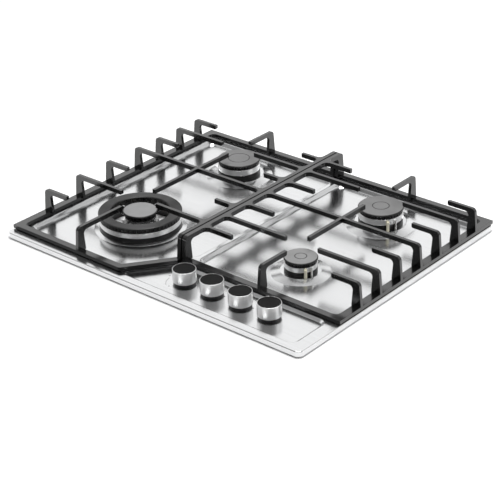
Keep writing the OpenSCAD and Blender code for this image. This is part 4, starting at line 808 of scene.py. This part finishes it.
def wok_ring():
    """The slotted ring head."""
    low, top = WOK_BASE_TOP, WOK_BAND_TOP
    tray_r, inner_r = WOK_R - CAST_WALL, RING_IN + CAST_WALL
    section = [(RING_IN, low - SPIGOT), (tray_r - CLEAR, low - SPIGOT), (tray_r - CLEAR, low), (WOK_R, low),
               (WOK_R, top), (WOK_R - 1, top), (WOK_R - 1.2, top + TRAY), (tray_r, top + TRAY),
               (tray_r, low + HEAD_FLOOR), (inner_r, low + HEAD_FLOOR), (inner_r, top + TRAY),
               (RING_IN, top + TRAY)]
    ring = eased_ring(section, [0.3, 0.2, 0.1, 0.6, 0.6, 0.1, 0.1, 0.2, 0.5, 0.5, 0.2, 0.2])
    piece = new_piece("wok_ring_head", *turned(ring, WOK, 160))
    with_teeth(piece, wok_head_look, WOK, [(60, WOK_R - 1, 2, top + SLOT_FOOT, WOK_SLOT_TOP),
                                           (30, inner_r, CAST_WALL, top + SLOT_FOOT, WOK_SLOT_TOP)])
    finished(piece, ["wok_outer_head"], wok_head_look)


def wok_ring_cap():
    """The iron ring that covers the ring head."""
    outer, inner, low, top = WOK_R + CAP_OVER, RING_IN - CAP_OVER, RING_CAP_Z, RING_CAP_Z + RING_CAP_T
    cover = eased_ring([(inner, low), (outer, low), (outer, top - 1), (outer - 1.4, top), (inner + 1.4, top),
                        (inner, top - 1.2)], [0.15, 0.15, 0.5, 0.6, 0.6, 0.4])
    finished(new_piece("wok_iron_ring", *turned(cover, WOK, 192)), ["wok_ring_cap"])


def wok_bridges():
    """The hub, the four bridges that carry the ring, and the upright fin on each bridge."""
    low, top, half_w, chamfer_in, chamfer_down = WOK_BASE_TOP, WOK_BAND_TOP, 3, 1.2, 1.4
    hub = eased_ring(rectangle(TOWER_R + CLEAR, low, CROWN_R, top), [0.2, 0.6, 0.6, 0.2], 3)
    right = [(half_w - EDGE_IN, low), (half_w, low + EDGE_UP), (half_w, top - chamfer_down),
             (half_w - chamfer_in, top)]
    section = right + [(-side, z) for side, z in reversed(right)]
    fin_half = 0.9
    fin = [(30, 21.5), (45, 21.5), (40.5, 24.5), (39, 28.5), (34, 28.5), (33, 24.5)]
    parts = [turned(hub, WOK)]
    for k in range(4):
        way = (round(math.cos(k * math.pi / 2)), round(math.sin(k * math.pi / 2)))
        parts.append(prism(WOK, way, [(CROWN_R - 1, side, z) for side, z in section],
                           [(RING_IN + 1, side, z) for side, z in section]))
        parts.append(prism(WOK, way, [(along, -fin_half, z) for along, z in fin],
                           [(along, fin_half, z) for along, z in fin]))
    finished(new_piece("wok_cross_bridges", *joined(*parts)), ["wok_bridges"], bridge_look)


def wok_crown():
    """The slotted inner head and its cap."""
    foot, low, top = WOK_BASE_TOP + 1, WOK_BAND_TOP, WOK_BAND_TOP + 2
    stem_r, tray_r = 10.7, CROWN_R - CAST_WALL
    section = [(THROAT_R, foot), (stem_r, foot), (stem_r, low), (CROWN_R, low), (CROWN_R, top), (tray_r, top),
               (tray_r, low + HEAD_FLOOR), (THROAT_R, low + HEAD_FLOOR)]
    crown = eased_ring(section, [0.2, 0.2, 0.2, 0.5, 0.3, 0.3, 0.1, 0.3], 3)
    piece = new_piece("wok_inner_crown", *turned(crown, WOK))
    with_teeth(piece, inner_head_look, WOK, [(20, CROWN_R, CAST_WALL, top - 0.2, CROWN_TOP)])
    finished(piece, ["wok_inner_head"], inner_head_look)
    cap("wok_inner_disc", "wok_inner_cap", WOK, CROWN_CAP_R, CROWN_TOP, None, wok_cap_look)


# Knobs

def knob(k):
    """Aluminium sleeve with a hub, and the black disc let into its top."""
    centre = (KNOB_XS[k - 1], KNOB_Y)
    inner, hub_r, hub_z, web_z = KNOB_R - KNOB_WALL, SPINDLE_R + CAST_WALL, KNOB_Z + 2, DISC_Z - CAST_WALL
    bore_r = SPINDLE_R + CLEAR
    section = [(inner, KNOB_Z), (KNOB_R, KNOB_Z), (KNOB_R, KNOB_TOP), (inner, KNOB_TOP), (inner, DISC_Z),
               (bore_r, DISC_Z), (bore_r, hub_z), (hub_r, hub_z), (hub_r, web_z), (inner, web_z)]
    sleeve = eased_ring(section, [0.25, 0.35, 0.65, 0.1, 0.1, 0, 0.2, 0.3, 0.5, 0.5], 4)
    finished(new_piece(f"knob_{k}_sleeve", *turned(sleeve, centre, 160)), [f"knob_{k}"])
    disc = eased_ring(rectangle(0, DISC_Z, inner - CLEAR, DISC_TOP), [0, 0.1, 0.25, 0], 3)
    finished(new_piece(f"knob_{k}_disc", *turned(disc, centre, 128)), [f"knob_top_{k}"])


def knob_collars():
    """The black rings at the knobs' feet."""
    section = eased_ring(rectangle(COLLAR_IN, BAY_Z, COLLAR_R, COLLAR_TOP), [0.2, 0.2, 0.4, 0.4], 3)
    rings = [turned(section, (x, KNOB_Y)) for x in KNOB_XS]
    finished(new_piece("knob_foot_rings", *joined(*rings)), ["knob_rings"])


def printed_dash(centre, way, half_l, half_w):
    """A short printed dash along a direction."""
    low, top = ([(-half_l, -half_w, z), (half_l, -half_w, z), (half_l, half_w, z), (-half_l, half_w, z)]
                for z in (MARK_LOW, MARK_TOP))
    return prism(centre, way, low, top)


def knob_marks():
    """Printed dots beside the knobs, and the dash and turning arc beside the first."""
    dot = rectangle(0, MARK_LOW, DOT_R, MARK_TOP)
    first = (KNOB_XS[0], KNOB_Y)
    places = [(x + DOT_STEP[0], KNOB_Y + DOT_STEP[1]) for x in KNOB_XS[:3]]
    places.append((first[0] + FOURTH_DOT_STEP[0], first[1] + FOURTH_DOT_STEP[1]))
    marks = [turned(dot, place, 24) for place in places]
    marks.append(printed_dash((first[0] + DASH_STEP[0], first[1] + DASH_STEP[1]), (1, 0), *DASH_HALF))
    for k in range(ARC_DASHES):
        a = math.radians(ARC_START + ARC_STEP * k)
        place = from_axis(first, (math.cos(a), math.sin(a)), ARC_R)
        marks.append(printed_dash(place, (-math.sin(a), math.cos(a)), *ARC_DASH_HALF))
    piece = new_piece("knob_marks", *joined(*marks), weld=WELD / 4)
    piece.data.materials.append(smooth_part("printed_mark", grey(0.05), grey(0.07), 0.5))
    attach(piece, BODY_OF["top_plate"])


plate_skin()
for side in ("left", "right"):
    softened(side + "_pan_grate", [f"grate_{side}_{part}" for part in ("frame", "fingers", "rail")], 0.7)
small_bases(REAR_LEFT, REAR_RIGHT, FRONT_RIGHT)
small_burner(REAR_LEFT, head_look, cap_look)
small_burner(REAR_RIGHT, head_look, cap_look)
small_burner(FRONT_RIGHT, small_head_look, small_cap_look)
wok_base()
wok_ring()
wok_bridges()
wok_ring_cap()
wok_crown()
for number in (1, 2, 3, 4):
    knob(number)
knob_collars()
knob_marks()


# Floor, light and camera

WORKTOP_Z = 0.0
BRIGHT_WAY = (-0.62, 0.78, 0.0)
DIM_FROM, BRIGHT_FROM = -0.35, 0.55
WORLD_DIM, WORLD_BRIGHT = 0.17, 1.25
HORIZON_FROM, BAND_FROM, BAND_TO, CEILING_FROM = 0.02, 0.24, 0.50, 0.90
HORIZON, CEILING = 0.45, 0.35


def backdrop():
    """A plain pale floor at worktop level that shows white to the camera and in metal."""
    mesh = bpy.data.meshes.new("floor")
    half = 6.0
    mesh.from_pydata(raised(rectangle(-half, -half, half, half), WORKTOP_Z), [], [(0, 1, 2, 3)])
    floor = bpy.data.objects.new("floor", mesh)
    scene.collection.objects.link(floor)
    look = Look("floor")
    look.put(Base_Color=grey(0.94), Roughness=0.9)
    mesh.materials.append(look.mat)


def studio_world():
    """A bright low band behind the cooktop, a greyer ceiling and a dim side towards the camera."""
    world = bpy.data.worlds.new("studio")
    scene.world = world
    world.use_nodes = True
    world.node_tree.nodes.clear()
    sky = Nodes(world.node_tree)
    out = sky.add("ShaderNodeOutputWorld")
    background = sky.add("ShaderNodeBackground")
    background.inputs["Color"].default_value = (1, 1, 1, 1)
    way = sky.add("ShaderNodeTexCoord").outputs["Generated"]

    def towards(direction, low, high, out_low, out_high):
        """A strength that changes softly with how far the sky's point lies in a direction."""
        along = sky.add("ShaderNodeVectorMath", operation="DOT_PRODUCT")
        sky.join(way, along.inputs[0])
        along.inputs[1].default_value = direction
        return sky.spread(along.outputs["Value"], low, high, out_low, out_high,
                          interpolation_type="SMOOTHSTEP")

    up = (0, 0, 1)
    height = sky.maths("MULTIPLY", towards(up, BAND_TO, CEILING_FROM, 1.0, CEILING),
                       towards(up, HORIZON_FROM, BAND_FROM, HORIZON, 1.0))
    glow = sky.maths("MULTIPLY", towards(BRIGHT_WAY, DIM_FROM, BRIGHT_FROM, WORLD_DIM, WORLD_BRIGHT), height)
    path = sky.add("ShaderNodeLightPath")
    seen = sky.add("ShaderNodeMix")
    sky.join(path.outputs["Is Camera Ray"], seen.inputs[0])
    sky.join(glow, seen.inputs[2])
    seen.inputs[3].default_value = 1.0
    sky.join(seen.outputs[0], background.inputs["Strength"])
    sky.join(background.outputs["Background"], out.inputs["Surface"])


def soft_light(name, place, target, size, power):
    data = bpy.data.lights.new(name, "AREA")
    data.size = size
    data.energy = power
    lamp = bpy.data.objects.new(name, data)
    scene.collection.objects.link(lamp)
    lamp.location = place
    lamp.rotation_mode = "QUATERNION"
    lamp.rotation_quaternion = (Vector(target) - Vector(place)).to_track_quat("-Z", "Y")


def photo_camera():
    """The viewpoint fitted to the photograph."""
    azimuth, elevation, roll = (math.radians(a) for a in (40.748, 27.806, -1.317))
    distance, focal_px, photo_px, sensor = 2.40318, 1545.86, 500, 36.0
    target = Vector((0.0492, -0.05712, 0.0105))
    back = Vector((math.sin(azimuth) * math.cos(elevation), -math.cos(azimuth) * math.cos(elevation),
                   math.sin(elevation)))
    right = (-back).cross(Vector((0, 0, 1))).normalized()
    up = right.cross(-back)
    turned_right = math.cos(roll) * right + math.sin(roll) * up
    turned_up = -math.sin(roll) * right + math.cos(roll) * up
    data = bpy.data.cameras.new("camera")
    data.sensor_width = sensor
    data.lens = focal_px / photo_px * sensor
    data.clip_start, data.clip_end = 0.05, 50.0
    camera = bpy.data.objects.new("camera", data)
    scene.collection.objects.link(camera)
    camera.matrix_world = Matrix((
        (turned_right.x, turned_up.x, back.x, target.x + back.x * distance),
        (turned_right.y, turned_up.y, back.y, target.y + back.y * distance),
        (turned_right.z, turned_up.z, back.z, target.z + back.z * distance),
        (0, 0, 0, 1)))
    scene.camera = camera


backdrop()
studio_world()
soft_light("key_light", place=(0.1, 0.1, 2.6), target=(0, 0, 0), size=1.5, power=74)
soft_light("side_light", place=(2.4, 0.9, 0.7), target=(0.2, 0, 0), size=1.2, power=10)
photo_camera()
scene.view_settings.view_transform = "Standard"
